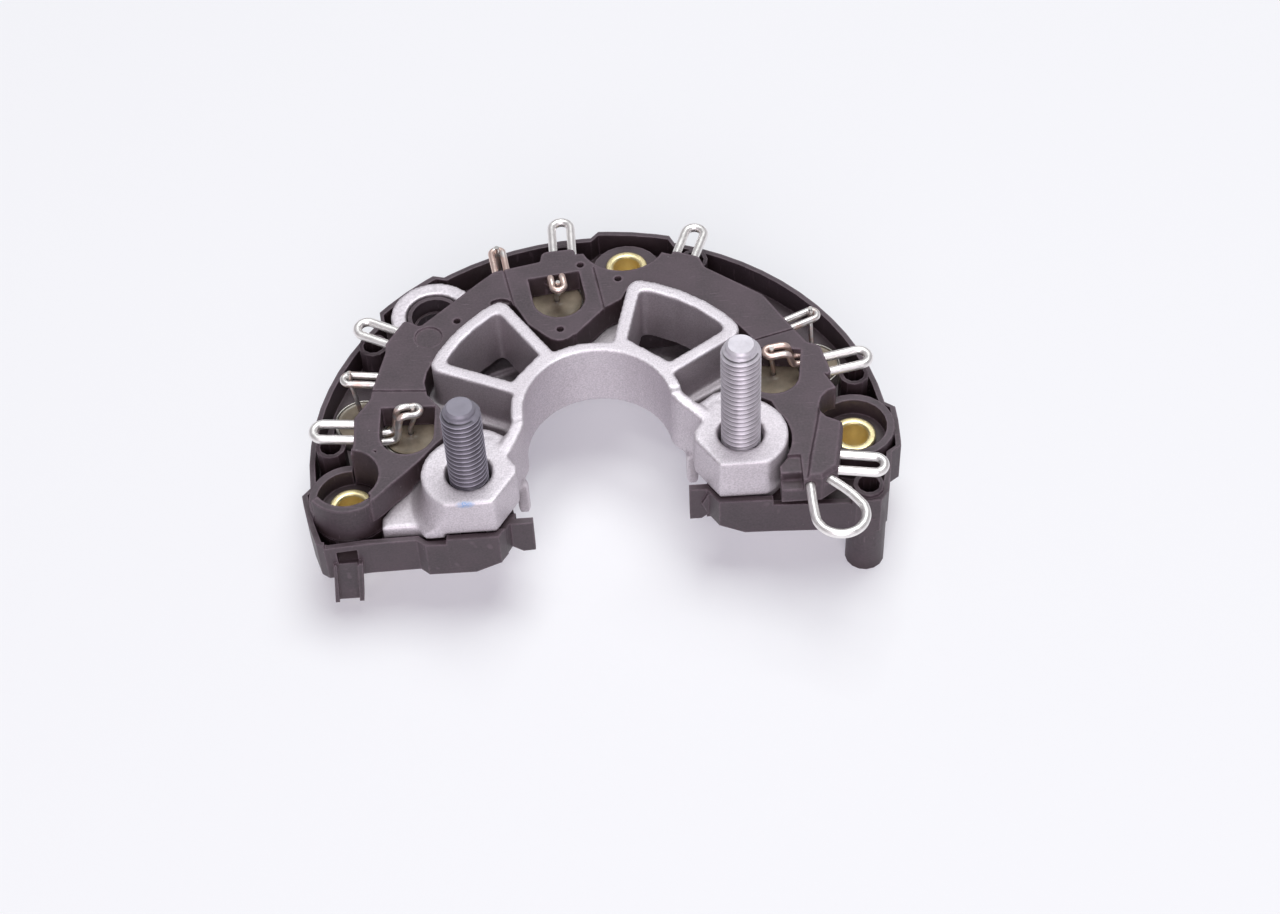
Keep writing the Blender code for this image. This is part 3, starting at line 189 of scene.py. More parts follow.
class RectifierSizes(bpy.types.PropertyGroup):
    """Sizes of what is added to the solids"""

    skin_step: FloatProperty(
        name="Skin step", description="Spacing of the points over the castings' skin",
        default=0.43 * MM, unit="LENGTH")
    skin_passes: IntProperty(
        name="Skin passes", description="How often the die-cast skin is softened",
        default=6, min=0, max=30)
    plate_passes: IntProperty(
        name="Plate passes", description="How often the skin of the plate heat sink is softened",
        default=3, min=0, max=30)
    moulded_radius: FloatProperty(
        name="Moulded radius", description="Rounding of the mouldings' edges",
        default=0.3 * MM, unit="LENGTH")
    thread_pitch: FloatProperty(
        name="Thread pitch", description="Distance between two turns of the studs' threads",
        default=1.25 * MM, unit="LENGTH")
    thread_depth: FloatProperty(
        name="Thread depth", description="Depth of the studs' threads",
        default=0.62 * MM, unit="LENGTH")
    point_radius: FloatProperty(
        name="Point radius", description="Radius of the plain point above each thread",
        default=2.95 * MM, unit="LENGTH")
    point_length: FloatProperty(
        name="Point length", description="Height of the plain point above each thread",
        default=1.15 * MM, unit="LENGTH")
    wire_sides: IntProperty(
        name="Wire sides", description="Sides of the loops and clips",
        default=16, min=6, max=32)


class RectifierColours(bpy.types.PropertyGroup):
    """Colours of the rectifier's surfaces"""

    cast: FloatVectorProperty(
        name="Cast aluminium", description="Colour of the die-cast heat sink",
        subtype="COLOR", size=3, default=(0.74, 0.685, 0.735))
    plastic: FloatVectorProperty(
        name="Plastic", description="Colour of the tray and the board",
        subtype="COLOR", size=3, default=(0.067, 0.048, 0.059))
    tin: FloatVectorProperty(
        name="Tin", description="Colour of the tinned wires",
        subtype="COLOR", size=3, default=(0.97, 0.94, 0.93))
    copper: FloatVectorProperty(
        name="Copper", description="Colour of the copper that shows through the tin",
        subtype="COLOR", size=3, default=(0.8, 0.56, 0.48))
    resin: FloatVectorProperty(
        name="Resin", description="Colour of the resin on the diodes",
        subtype="COLOR", size=3, default=(0.25, 0.2, 0.15))
    can: FloatVectorProperty(
        name="Can", description="Colour of the diodes' cans",
        subtype="COLOR", size=3, default=(0.5, 0.47, 0.44))
    dark_zinc: FloatVectorProperty(
        name="Dark zinc", description="Colour of the left stud",
        subtype="COLOR", size=3, default=(0.18, 0.168, 0.203))
    zinc: FloatVectorProperty(
        name="Zinc", description="Colour of the right stud",
        subtype="COLOR", size=3, default=(0.6, 0.565, 0.62))
    passivation: FloatVectorProperty(
        name="Yellow zinc", description="Colour of the hollow rivets",
        subtype="COLOR", size=3, default=(0.88, 0.73, 0.42))
    ink: FloatVectorProperty(
        name="Ink", description="Colour of the smear on the left boss",
        subtype="COLOR", size=3, default=(0.18, 0.36, 0.66))
    dust: FloatVectorProperty(
        name="Dust", description="Colour of the specks of dust on the mouldings",
        subtype="COLOR", size=3, default=(0.35, 0.33, 0.33))
    floor: FloatVectorProperty(
        name="Floor", description="Colour of the studio floor",
        subtype="COLOR", size=3, default=(0.63, 0.63, 0.62))


# node trees

def link(tree, source, target):
    """Set a socket from another socket or from a value."""
    if isinstance(source, bpy.types.NodeSocket):
        tree.links.new(source, target)
    else:
        target.default_value = source


def math_node(tree, operation, *values):
    """Math node's output."""
    node = tree.nodes.new("ShaderNodeMath")
    node.operation = operation
    for index, value in enumerate(values):
        link(tree, value, node.inputs[index])
    return node.outputs[0]


def map_range(tree, value, low, high, to_low=0.0, to_high=1.0):
    """Value mapped from one range to another, held at its ends."""
    node = tree.nodes.new("ShaderNodeMapRange")
    for name, number in (("Value", value), ("From Min", low), ("From Max", high), ("To Min", to_low),
                         ("To Max", to_high)):
        link(tree, number, node.inputs[name])
    return node.outputs["Result"]


def noise(tree, coordinates, scale, detail=3.0, roughness=0.55):
    """Noise over the surface, from 0 to 1."""
    node = tree.nodes.new("ShaderNodeTexNoise")
    link(tree, coordinates, node.inputs["Vector"])
    link(tree, scale, node.inputs["Scale"])
    node.inputs["Detail"].default_value = detail
    node.inputs["Roughness"].default_value = roughness
    return node.outputs["Fac"]


def mix(tree, factor, first, second):
    """Colour between two colours."""
    node = tree.nodes.new("ShaderNodeMix")
    node.data_type = "RGBA"
    link(tree, factor, node.inputs[0])
    for value, socket in ((first, node.inputs[6]), (second, node.inputs[7])):
        link(tree, value if isinstance(value, bpy.types.NodeSocket) else (*value, 1.0), socket)
    return node.outputs[2]


def shader_group(name, inputs, outputs):
    """Empty shader group with its sockets, and its two end nodes."""
    tree = bpy.data.node_groups.new(name, "ShaderNodeTree")
    for label, kind, default in inputs:
        socket = tree.interface.new_socket(label, in_out="INPUT", socket_type=kind)
        if default is not None:
            socket.default_value = default
    for label, kind in outputs:
        tree.interface.new_socket(label, in_out="OUTPUT", socket_type=kind)
    return tree, tree.nodes.new("NodeGroupInput"), tree.nodes.new("NodeGroupOutput")


def grain_group():
    """Fine grain: a height for bumps, and a slow and a fine mask for colours."""
    tree, start, end = shader_group(
        "Surface Grain",
        (("Vector", "NodeSocketVector", None), ("Size", "NodeSocketFloat", 0.0004),
         ("Patches", "NodeSocketFloat", 0.008)),
        (("Height", "NodeSocketFloat"), ("Fine", "NodeSocketFloat"), ("Slow", "NodeSocketFloat")))
    fine_scale = math_node(tree, "DIVIDE", 1.0, start.outputs["Size"])
    slow_scale = math_node(tree, "DIVIDE", 1.0, start.outputs["Patches"])
    fine = noise(tree, start.outputs["Vector"], fine_scale, 2.0, 0.6)
    middle_scale = math_node(tree, "MULTIPLY", fine_scale, 0.35)
    middle = noise(tree, start.outputs["Vector"], middle_scale, 2.0)
    slow = noise(tree, start.outputs["Vector"], slow_scale, 4.0)
    height = math_node(tree, "ADD", fine, math_node(tree, "MULTIPLY", middle, 0.8))
    tree.links.new(height, end.inputs["Height"])
    tree.links.new(map_range(tree, fine, 0.3, 0.7), end.inputs["Fine"])
    tree.links.new(map_range(tree, slow, 0.35, 0.65), end.inputs["Slow"])
    return tree


def edge_group():
    """Rounded edges: the softened normal, and a mask that is 1 where the surface turns, for a painted
    edge highlight.
    """
    tree, start, end = shader_group(
        "Worn Edges",
        (("Vector", "NodeSocketVector", None), ("Breakup", "NodeSocketFloat", 0.0015),
         ("Radius", "NodeSocketFloat", 0.0003)),
        (("Normal", "NodeSocketVector"), ("Mask", "NodeSocketFloat")))
    narrow = tree.nodes.new("ShaderNodeBevel")
    narrow.samples = 4
    tree.links.new(start.outputs["Radius"], narrow.inputs["Radius"])
    wide = tree.nodes.new("ShaderNodeBevel")
    wide.samples = 4
    tree.links.new(math_node(tree, "MULTIPLY", start.outputs["Radius"], 2.0), wide.inputs["Radius"])
    flat = tree.nodes.new("ShaderNodeNewGeometry")
    product = tree.nodes.new("ShaderNodeVectorMath")
    product.operation = "DOT_PRODUCT"
    tree.links.new(wide.outputs[0], product.inputs[0])
    tree.links.new(flat.outputs["Normal"], product.inputs[1])
    turned = map_range(tree, product.outputs["Value"], 0.995, 0.86)
    breakup_scale = math_node(tree, "DIVIDE", 1.0, start.outputs["Breakup"])
    breakup = noise(tree, start.outputs["Vector"], breakup_scale)
    breakup = map_range(tree, breakup, 0.3, 0.62, 0.25, 1.0)
    mask = math_node(tree, "MULTIPLY", turned, breakup)
    tree.links.new(narrow.outputs[0], end.inputs["Normal"])
    tree.links.new(mask, end.inputs["Mask"])
    return tree


def scratch_group():
    """Thin straight scratches and a few specks of dust, as masks."""
    tree, start, end = shader_group(
        "Handling Marks",
        (("Vector", "NodeSocketVector", None), ("Spacing", "NodeSocketFloat", 0.004)),
        (("Scratches", "NodeSocketFloat"), ("Dust", "NodeSocketFloat")))
    scale = math_node(tree, "DIVIDE", 1.0, start.outputs["Spacing"])
    marks = None
    for turn, stretch in ((0.4, 14.0), (1.9, 18.0)):
        mapping = tree.nodes.new("ShaderNodeMapping")
        mapping.inputs["Rotation"].default_value = (0.3, 0.2, turn)
        mapping.inputs["Scale"].default_value = (1.0, stretch, 1.0)
        tree.links.new(start.outputs["Vector"], mapping.inputs["Vector"])
        streak = noise(tree, mapping.outputs[0], scale, 2.0, 0.5)
        line = map_range(tree, streak, 0.68, 0.74)
        marks = line if marks is None else math_node(tree, "MAXIMUM", marks, line)
    specks = tree.nodes.new("ShaderNodeTexVoronoi")
    tree.links.new(start.outputs["Vector"], specks.inputs["Vector"])
    tree.links.new(math_node(tree, "MULTIPLY", scale, 1.1), specks.inputs["Scale"])
    dust = map_range(tree, specks.outputs["Distance"], 0.05, 0.02)
    tree.links.new(marks, end.inputs["Scratches"])
    tree.links.new(dust, end.inputs["Dust"])
    return tree


class Surface:
    """One material under construction, with its Principled shader and its Object coordinates."""

    def __init__(self, name, roughness, metallic):
        self.material = bpy.data.materials.new(name)
        self.material.use_nodes = True
        self.tree = self.material.node_tree
        self.shader = self.tree.nodes["Principled BSDF"]
        self.shader.inputs["Roughness"].default_value = roughness
        self.shader.inputs["Metallic"].default_value = metallic
        self.vector = self.tree.nodes.new("ShaderNodeTexCoord").outputs["Object"]

    def group(self, name, maker, **values):
        """Place a shared group, made the first time it is asked for."""
        node = self.tree.nodes.new("ShaderNodeGroup")
        node.node_tree = bpy.data.node_groups.get(name) or maker()
        link(self.tree, self.vector, node.inputs["Vector"])
        for label, value in values.items():
            node.inputs[label].default_value = value
        return node

    def bump(self, height, distance, strength, normal=None):
        """Bump over a normal, fed to the shader."""
        node = self.tree.nodes.new("ShaderNodeBump")
        node.inputs["Strength"].default_value = strength
        node.inputs["Distance"].default_value = distance
        link(self.tree, height, node.inputs["Height"])
        if normal is not None:
            link(self.tree, normal, node.inputs["Normal"])
        self.tree.links.new(node.outputs[0], self.shader.inputs["Normal"])

    def painted_shade_mask(self, reach, share):
        """Mask of painted shade, from ambient occlusion over the places that the part itself shelters
        from light.
        """
        node = self.tree.nodes.new("ShaderNodeAmbientOcclusion")
        node.samples = 6
        node.inputs["Distance"].default_value = reach
        return map_range(self.tree, node.outputs["AO"], 0.8, 0.25, 0.0, share)

    def set(self, **sockets):
        """Feed the shader's sockets."""
        for label, value in sockets.items():
            link(self.tree, value, self.shader.inputs[label.replace("_", " ")])
        return self.material


def shade(colour, factor):
    """Colour made lighter or darker."""
    return tuple(min(channel * factor, 1.0) for channel in colour)


def scaled(tree, value, factor):
    """Mask held to a share of itself."""
    return math_node(tree, "MULTIPLY", value, factor)


def cast_aluminium(name, colour, ink, roughness, grain, depth):
    """Grainy cast or blanked aluminium, a smear of ink, painted shade in hollows and creases, painted
    highlights on edges.
    """
    surface = Surface(name, roughness, 0.75)
    tree = surface.tree
    texture = surface.group("Surface Grain", grain_group, Size=grain, Patches=0.012)
    fine = texture.outputs["Fine"]
    slow = texture.outputs["Slow"]
    edge = tree.nodes.new("ShaderNodeAttribute")
    edge.attribute_name = "worn_edge"
    # painted highlight on convex edges and painted shade in concave creases, read from the attribute
    bright = map_range(tree, edge.outputs["Fac"], 0.12, 0.45, 0.0, 0.75)
    hollow = map_range(tree, edge.outputs["Fac"], -0.15, -0.5, 0.0, 0.6)
    # colour of the painted shade where the part shelters itself from light
    painted_shade_colour = (0.38 * colour[0], 0.33 * colour[1], 0.32 * colour[2])
    base = mix(tree, fine, shade(colour, 0.8), shade(colour, 1.12))
    base = mix(tree, scaled(tree, slow, 0.2), base, shade(colour, 0.78))
    # the painted edge highlight, then the painted crease shade
    base = mix(tree, bright, base, shade(colour, 1.4))
    base = mix(tree, hollow, base, shade(colour, 0.5))
    # painted shade from ambient occlusion in the hollows
    base = mix(tree, surface.painted_shade_mask(24 * MM, 0.42), base, painted_shade_colour)
    base = mix(tree, ink_mask(surface, place(*INK_MARK), fine), base, ink)
    rough = map_range(tree, slow, 0.0, 1.0, roughness - 0.05, roughness + 0.08)
    surface.bump(texture.outputs["Height"], depth, 0.85)
    return surface.set(Base_Color=base, Roughness=rough)


def ink_mask(surface, middle, breakup):
    """Small broken smear around one point, 1 at its middle."""
    tree = surface.tree
    offset = tree.nodes.new("ShaderNodeVectorMath")
    offset.operation = "SUBTRACT"
    link(tree, surface.vector, offset.inputs[0])
    offset.inputs[1].default_value = middle
    stretch = tree.nodes.new("ShaderNodeVectorMath")
    stretch.operation = "MULTIPLY"
    tree.links.new(offset.outputs[0], stretch.inputs[0])
    stretch.inputs[1].default_value = (0.45, 1.0, 1.0)
    reach = tree.nodes.new("ShaderNodeVectorMath")
    reach.operation = "LENGTH"
    tree.links.new(stretch.outputs[0], reach.inputs[0])
    near = map_range(tree, reach.outputs["Value"], 0.95 * MM, 0.4 * MM)
    return math_node(tree, "MULTIPLY", near, map_range(tree, breakup, 0.2, 0.8, 0.25, 0.9))


def moulded_plastic(name, colour, dust, roughness, edge_radius):
    """Glass-filled plastic, slightly scuffed and dusty, with painted shade in its recesses and painted
    highlights on its edges.
    """
    surface = Surface(name, roughness, 0.0)
    tree = surface.tree
    texture = surface.group("Surface Grain", grain_group, Size=0.0005, Patches=0.009)
    edges = surface.group("Worn Edges", edge_group, Breakup=0.002, Radius=edge_radius)
    marks = surface.group("Handling Marks", scratch_group, Spacing=0.0045)
    # colour of the painted shade in recesses
    painted_shade_colour = (0.5 * colour[0], 0.36 * colour[1], 0.3 * colour[2])
    pale = shade(colour, 4.0)
    base = mix(tree, texture.outputs["Slow"], shade(colour, 0.78), shade(colour, 1.3))
    base = mix(tree, scaled(tree, texture.outputs["Fine"], 0.35), base, shade(colour, 1.9))
    # painted shade from ambient occlusion where the part shelters itself from light
    base = mix(tree, surface.painted_shade_mask(9 * MM, 0.8), base, painted_shade_colour)
    # painted highlight along the edges
    base = mix(tree, scaled(tree, edges.outputs["Mask"], 0.7), base, pale)
    base = mix(tree, scaled(tree, marks.outputs["Scratches"], 0.25), base, pale)
    base = mix(tree, scaled(tree, marks.outputs["Dust"], 0.35), base, dust)
    rough = map_range(tree, texture.outputs["Slow"], 0.0, 1.0, roughness - 0.05, roughness + 0.07)
    surface.bump(texture.outputs["Height"], 0.00004, 0.6, edges.outputs["Normal"])
    return surface.set(Base_Color=base, Roughness=rough)


def tinned_wire(name, tin, copper, share, roughness):
    """Tinned copper wire, with copper showing over a share of it."""
    surface = Surface(name, roughness, 0.9)
    tree = surface.tree
    texture = surface.group("Surface Grain", grain_group, Size=0.0009, Patches=0.003)
    bare = map_range(tree, texture.outputs["Slow"], 1.0 - share, 1.4 - share, 0.0, 0.75)
    base = mix(tree, texture.outputs["Fine"], shade(tin, 0.93), tin)
    base = mix(tree, bare, base, copper)
    rough = map_range(tree, texture.outputs["Fine"], 0.0, 1.0, roughness - 0.04, roughness + 0.1)
    surface.bump(texture.outputs["Height"], 0.00003, 0.06)
    return surface.set(Base_Color=base, Roughness=rough)


def plated_steel(name, colour, roughness, contrast=0.15, patches=0.0025, crest=0.0, metallic=0.85):
    """Plated steel with fine uneven patches, and on a thread painted shade in the roots and a painted
    highlight on the crests.
    """
    surface = Surface(name, roughness, metallic)
    tree = surface.tree
    texture = surface.group("Surface Grain", grain_group, Size=0.0004, Patches=patches)
    fine = texture.outputs["Fine"]
    dark = shade(colour, 1.0 - contrast)
    pale = shade(colour, 1.0 + contrast)
    base = mix(tree, texture.outputs["Slow"], dark, pale)
    base = mix(tree, scaled(tree, fine, 0.3), base, shade(colour, 1.3))
    if crest > 0:
        depth = tree.nodes.new("ShaderNodeAttribute")
        depth.attribute_name = "thread_depth"
        # painted shade in the thread's roots and a painted highlight on its crests
        root = map_range(tree, depth.outputs["Fac"], 0.5, 0.95, 0.0, 0.95)
        top = map_range(tree, depth.outputs["Fac"], 0.24, 0.0, 0.0, 0.9)
        base = mix(tree, root, base, shade(colour, 0.2))
        base = mix(tree, top, base, shade(colour, crest))
    rough = map_range(tree, fine, 0.0, 1.0, roughness - 0.06, roughness + 0.1)
    surface.bump(texture.outputs["Height"], 0.00002, 0.35)
    return surface.set(Base_Color=base, Roughness=rough)


def potting_resin(name, colour):
    """Smooth resin with a slightly uneven tone."""
    surface = Surface(name, RESIN_ROUGHNESS, 0.0)
    tree = surface.tree
    texture = surface.group("Surface Grain", grain_group, Size=0.0012, Patches=0.003)
    base = mix(tree, texture.outputs["Slow"], shade(colour, 0.8), shade(colour, 1.25))
    surface.bump(texture.outputs["Height"], 0.00005, 0.3)
    return surface.set(Base_Color=base)


# geometry trees

def geometry_group(name, inputs):
    """Empty geometry tree with its sockets, and its two end nodes."""
    tree = bpy.data.node_groups.new(name, "GeometryNodeTree")
    tree.interface.new_socket("Geometry", in_out="INPUT", socket_type="NodeSocketGeometry")
    for label, kind, default in inputs:
        socket = tree.interface.new_socket(label, in_out="INPUT", socket_type=kind)
        if default is not None:
            socket.default_value = default
    tree.interface.new_socket("Geometry", in_out="OUTPUT", socket_type="NodeSocketGeometry")
    return tree, tree.nodes.new("NodeGroupInput"), tree.nodes.new("NodeGroupOutput")


def close_tree(tree, geometry, start, end, smooth_deg):
    """End a tree with smooth faces, realized instances and its material."""
    shading = tree.nodes.new("GeometryNodeSetShadeSmooth")
    tree.links.new(geometry, shading.inputs["Geometry"])
    angle = tree.nodes.new("GeometryNodeInputMeshEdgeAngle")
    sharp = tree.nodes.new("FunctionNodeCompare")
    sharp.operation = "GREATER_THAN"
    tree.links.new(angle.outputs["Unsigned Angle"], sharp.inputs[0])
    sharp.inputs[1].default_value = math.radians(smooth_deg)
    edges = tree.nodes.new("GeometryNodeSetShadeSmooth")
    edges.domain = "EDGE"
    tree.links.new(shading.outputs[0], edges.inputs["Geometry"])
    tree.links.new(sharp.outputs[0], edges.inputs["Selection"])
    edges.inputs["Shade Smooth"].default_value = False
    real = tree.nodes.new("GeometryNodeRealizeInstances")
    tree.links.new(edges.outputs[0], real.inputs[0])
    paint = tree.nodes.new("GeometryNodeSetMaterial")
    tree.links.new(real.outputs[0], paint.inputs["Geometry"])
    tree.links.new(start.outputs["Material"], paint.inputs["Material"])
    tree.links.new(paint.outputs[0], end.inputs[0])


def wire_tree():
    """Round wire along every line of a mesh of edges."""
    tree, start, end = geometry_group("Wire Sweep", (
        ("Radius", "NodeSocketFloat", WIRE_RADIUS * MM),
        ("Spacing", "NodeSocketFloat", WIRE_SPACING * MM),
        ("Sides", "NodeSocketInt", 16),
        ("Material", "NodeSocketMaterial", None)))
    curve = tree.nodes.new("GeometryNodeMeshToCurve")
    tree.links.new(start.outputs["Geometry"], curve.inputs[0])
    spline = tree.nodes.new("GeometryNodeCurveSplineType")
    spline.spline_type = "CATMULL_ROM"
    tree.links.new(curve.outputs[0], spline.inputs[0])
    points = tree.nodes.new("GeometryNodeResampleCurve")
    points.mode = "LENGTH"
    tree.links.new(spline.outputs[0], points.inputs["Curve"])
    tree.links.new(start.outputs["Spacing"], points.inputs["Length"])
    circle = tree.nodes.new("GeometryNodeCurvePrimitiveCircle")
    tree.links.new(start.outputs["Sides"], circle.inputs["Resolution"])
    tree.links.new(start.outputs["Radius"], circle.inputs["Radius"])
    sweep = tree.nodes.new("GeometryNodeCurveToMesh")
    tree.links.new(points.outputs[0], sweep.inputs["Curve"])
    tree.links.new(circle.outputs["Curve"], sweep.inputs["Profile Curve"])
    sweep.inputs["Fill Caps"].default_value = True
    close_tree(tree, sweep.outputs[0], start, end, 50.0)
    return tree


def thread_tree():
    """Threaded bar that stands on the XY plane, with a chamfered tip and a plain point."""
    tree, start, end = geometry_group("Threaded Bar", (
        ("Radius", "NodeSocketFloat", STUD_RADIUS * MM),
        ("Length", "NodeSocketFloat", 30 * MM),
        ("Pitch", "NodeSocketFloat", 1.25 * MM),
        ("Depth", "NodeSocketFloat", 0.6 * MM),
        ("Tip Radius", "NodeSocketFloat", 2.9 * MM),
        ("Tip Length", "NodeSocketFloat", 1.5 * MM),
        ("Material", "NodeSocketMaterial", None)))
    length = start.outputs["Length"]
    pitch = start.outputs["Pitch"]
    tip_radius = start.outputs["Tip Radius"]
    bar = tree.nodes.new("GeometryNodeMeshCylinder")
    bar.inputs["Vertices"].default_value = THREAD_SIDES
    turns = math_node(tree, "DIVIDE", length, pitch)
    rows = math_node(tree, "MULTIPLY", turns, THREAD_ROWS)
    tree.links.new(rows, bar.inputs["Side Segments"])
    bar.inputs["Radius"].default_value = 1.0
    tree.links.new(length, bar.inputs["Depth"])
    lift = tree.nodes.new("ShaderNodeCombineXYZ")
    tree.links.new(math_node(tree, "MULTIPLY", length, 0.5), lift.inputs["Z"])
    stand = tree.nodes.new("GeometryNodeTransform")
    tree.links.new(bar.outputs["Mesh"], stand.inputs["Geometry"])
    tree.links.new(lift.outputs[0], stand.inputs["Translation"])
    position = tree.nodes.new("GeometryNodeInputPosition")
    parts = tree.nodes.new("ShaderNodeSeparateXYZ")
    tree.links.new(position.outputs[0], parts.inputs[0])
    x, y, z = parts.outputs
    crest = helix_depth(tree, x, y, math_node(tree, "DIVIDE", z, pitch))
    below = math_node(tree, "SUBTRACT", length, z)
    groove = math_node(tree, "MULTIPLY", start.outputs["Depth"], crest)
    rounded = math_node(tree, "SUBTRACT", start.outputs["Radius"], groove)
    under_point = math_node(tree, "SUBTRACT", below, start.outputs["Tip Length"])
    cone = math_node(tree, "ADD", tip_radius, math_node(tree, "MULTIPLY", under_point, 1.3))
    chamfer = map_range(tree, below, 0.45 * MM, 0.0, 0.0, 0.45 * MM)
    point = math_node(tree, "SUBTRACT", tip_radius, chamfer)
    radius = math_node(tree, "MINIMUM", rounded, math_node(tree, "MAXIMUM", cone, point))
    across = tree.nodes.new("ShaderNodeCombineXYZ")
    tree.links.new(math_node(tree, "MULTIPLY", x, radius), across.inputs["X"])
    tree.links.new(math_node(tree, "MULTIPLY", y, radius), across.inputs["Y"])
    tree.links.new(z, across.inputs["Z"])
    shape = tree.nodes.new("GeometryNodeSetPosition")
    tree.links.new(stand.outputs[0], shape.inputs["Geometry"])
    tree.links.new(across.outputs[0], shape.inputs["Position"])
    full = math_node(tree, "GREATER_THAN", math_node(tree, "ADD", radius, 0.02 * MM), rounded)
    level = math_node(tree, "MULTIPLY", full, math_node(tree, "SUBTRACT", crest, POINT_LEVEL))
    note = tree.nodes.new("GeometryNodeStoreNamedAttribute")
    note.data_type = "FLOAT"
    note.domain = "POINT"
    note.inputs["Name"].default_value = "thread_depth"
    tree.links.new(shape.outputs[0], note.inputs["Geometry"])
    tree.links.new(math_node(tree, "ADD", level, POINT_LEVEL), note.inputs["Value"])
    close_tree(tree, note.outputs[0], start, end, 36.0)
    return tree


def helix_depth(tree, x, y, turns):
    """Depth inside a thread, from 0 at its crest to 1 at its root, for a height counted in turns."""
    angle = math_node(tree, "DIVIDE", math_node(tree, "ARCTAN2", y, x), 2 * math.pi)
    phase = math_node(tree, "FRACT", math_node(tree, "SUBTRACT", turns, angle))
    centred = math_node(tree, "SUBTRACT", math_node(tree, "MULTIPLY", phase, 2.0), 1.0)
    return map_range(tree, math_node(tree, "ABSOLUTE", centred), 0.1, 0.86)


def run_tree(name, mesh, tree, values):
    """Plain mesh object made by a geometry tree over a mesh."""
    obj = bpy.data.objects.new(name, mesh)
    bpy.context.scene.collection.objects.link(obj)
    modifier = obj.modifiers.new("shape", "NODES")
    modifier.node_group = tree
    for item in tree.interface.items_tree:
        if item.in_out == "INPUT" and item.name in values:
            modifier[item.identifier] = values[item.name]
    graph = bpy.context.evaluated_depsgraph_get()
    result = bpy.data.meshes.new_from_object(obj.evaluated_get(graph))
    result.name = name
    obj.modifiers.clear()
    obj.data = result
    return obj


def line_mesh(name, path):
    """Mesh of edges along a path of points of the drawing."""
    verts = [place(*point) for point in path]
    edges = [(i, i + 1) for i in range(len(verts) - 1)]
    mesh = bpy.data.meshes.new(name)
    mesh.from_pydata(verts, edges, [])
    return mesh


def levels(node):
    """Lowest and highest point of a CAD node, as heights in the drawing."""
    low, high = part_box(node)
    return low.z / MM - ORIGIN.z, high.z / MM - ORIGIN.z


def ride_for(obj, slot, *nodes):
    """Let a piece stand for its CAD nodes."""
    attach(obj, "root")
    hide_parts(*nodes)
    return obj


def merged_copy(node, name, material):
    """Object with a copy of a CAD node's mesh, its loose triangles joined into one skin."""
    work = bmesh.new()
    work.from_mesh(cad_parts[node].data)
    bmesh.ops.remove_doubles(work, verts=work.verts, dist=0.002 * MM)
    work.verts.index_update()
    verts = [vert.co.copy() for vert in work.verts]
    faces = [[vert.index for vert in face.verts] for face in work.faces]
    work.free()
    mesh = bpy.data.meshes.new(name)
    mesh.from_pydata(verts, [], faces)
    return add_object(name, mesh, material)


def apply_modifiers(obj):
    """Turn an object's modifiers into its mesh."""
    graph = bpy.context.evaluated_depsgraph_get()
    result = bpy.data.meshes.new_from_object(obj.evaluated_get(graph))
    result.name = obj.name
    obj.modifiers.clear()
    obj.data = result


def cast_copy(node, name, slot, material, step, passes):
    """Softened skin over a CAD node, as a die leaves it, which stands for the node."""
    obj = merged_copy(node, name, material)
    skin = obj.modifiers.new("skin", "REMESH")
    skin.mode = "VOXEL"
    skin.voxel_size = step
    skin.use_smooth_shade = True
    apply_modifiers(obj)
    before = [vert.co.copy() for vert in obj.data.vertices]
    soften = obj.modifiers.new("soften", "SMOOTH")
    soften.factor = 0.5
    soften.iterations = passes
    apply_modifiers(obj)
    # how far the softening moved each point, which the cast material turns into painted edge
    # highlights and crease shade
    edge_light_and_shade = obj.data.attributes.new("worn_edge", "FLOAT", "POINT")
    for vert, old in zip(obj.data.vertices, before):
        edge_light_and_shade.data[vert.index].value = (old - vert.co).dot(vert.normal) / step
    return ride_for(obj, slot, node)


def moulded_copy(node, name, slot, material, sharp_deg=30.0):
    """Copy of a CAD node with smooth curves and crisp edges, which stands for the node."""
    obj = merged_copy(node, name, material)
    obj.data.shade_smooth()
    obj.data.set_sharp_from_angle(angle=math.radians(sharp_deg))
    return ride_for(obj, slot, node)


def turned_mesh(name, centre, profile, steps=40):
    """Solid turned about an upright axis from a closed profile of radius and height."""
    verts = []
    faces = []
    rings = []
    for radius, height in profile:
        rings.append(len(verts))
        for k in range(steps if radius > 0 else 1):
            angle = 2 * math.pi * k / steps
            x = centre[0] + radius * math.cos(angle)
            y = centre[1] + radius * math.sin(angle)
            verts.append(place(x, y, height))
    for i in range(len(profile)):
        j = (i + 1) % len(profile)
        pole_below = profile[i][0] == 0
        pole_above = profile[j][0] == 0
        for k in range(steps):
            n = (k + 1) % steps
            if pole_below and pole_above:
                continue
            if pole_below:
                faces.append((rings[i], rings[j] + n, rings[j] + k))
            elif pole_above:
                faces.append((rings[i] + k, rings[i] + n, rings[j]))
            else:
                faces.append((rings[i] + k, rings[i] + n, rings[j] + n, rings[j] + k))
    mesh = bpy.data.meshes.new(name)
    mesh.from_pydata(verts, [], faces)
    mesh.shade_smooth()
    mesh.set_sharp_from_angle(angle=math.radians(40))
    return mesh


def add_object(name, mesh, material):
    """Object for a mesh, with its material."""
    mesh.materials.append(material)
    obj = bpy.data.objects.new(name, mesh)
    bpy.context.scene.collection.objects.link(obj)
    return obj


def arc(centre, radius, start, end, steps):
    """Points along an arc, from one angle to the other."""
    points = []
    for i in range(steps + 1):
        angle = math.radians(start + (end - start) * i / steps)
        points.append((centre[0] + radius * math.cos(angle), centre[1] + radius * math.sin(angle)))
    return points


def local_points(centre, heading, points):
    """Points given along and across a heading, placed on the part."""
    angle = math.radians(heading)
    placed = []
    for along, across, height in points:
        x = centre[0] + along * math.cos(angle) - across * math.sin(angle)
        y = centre[1] + along * math.sin(angle) + across * math.cos(angle)
        placed.append((x, y, height))
    return placed


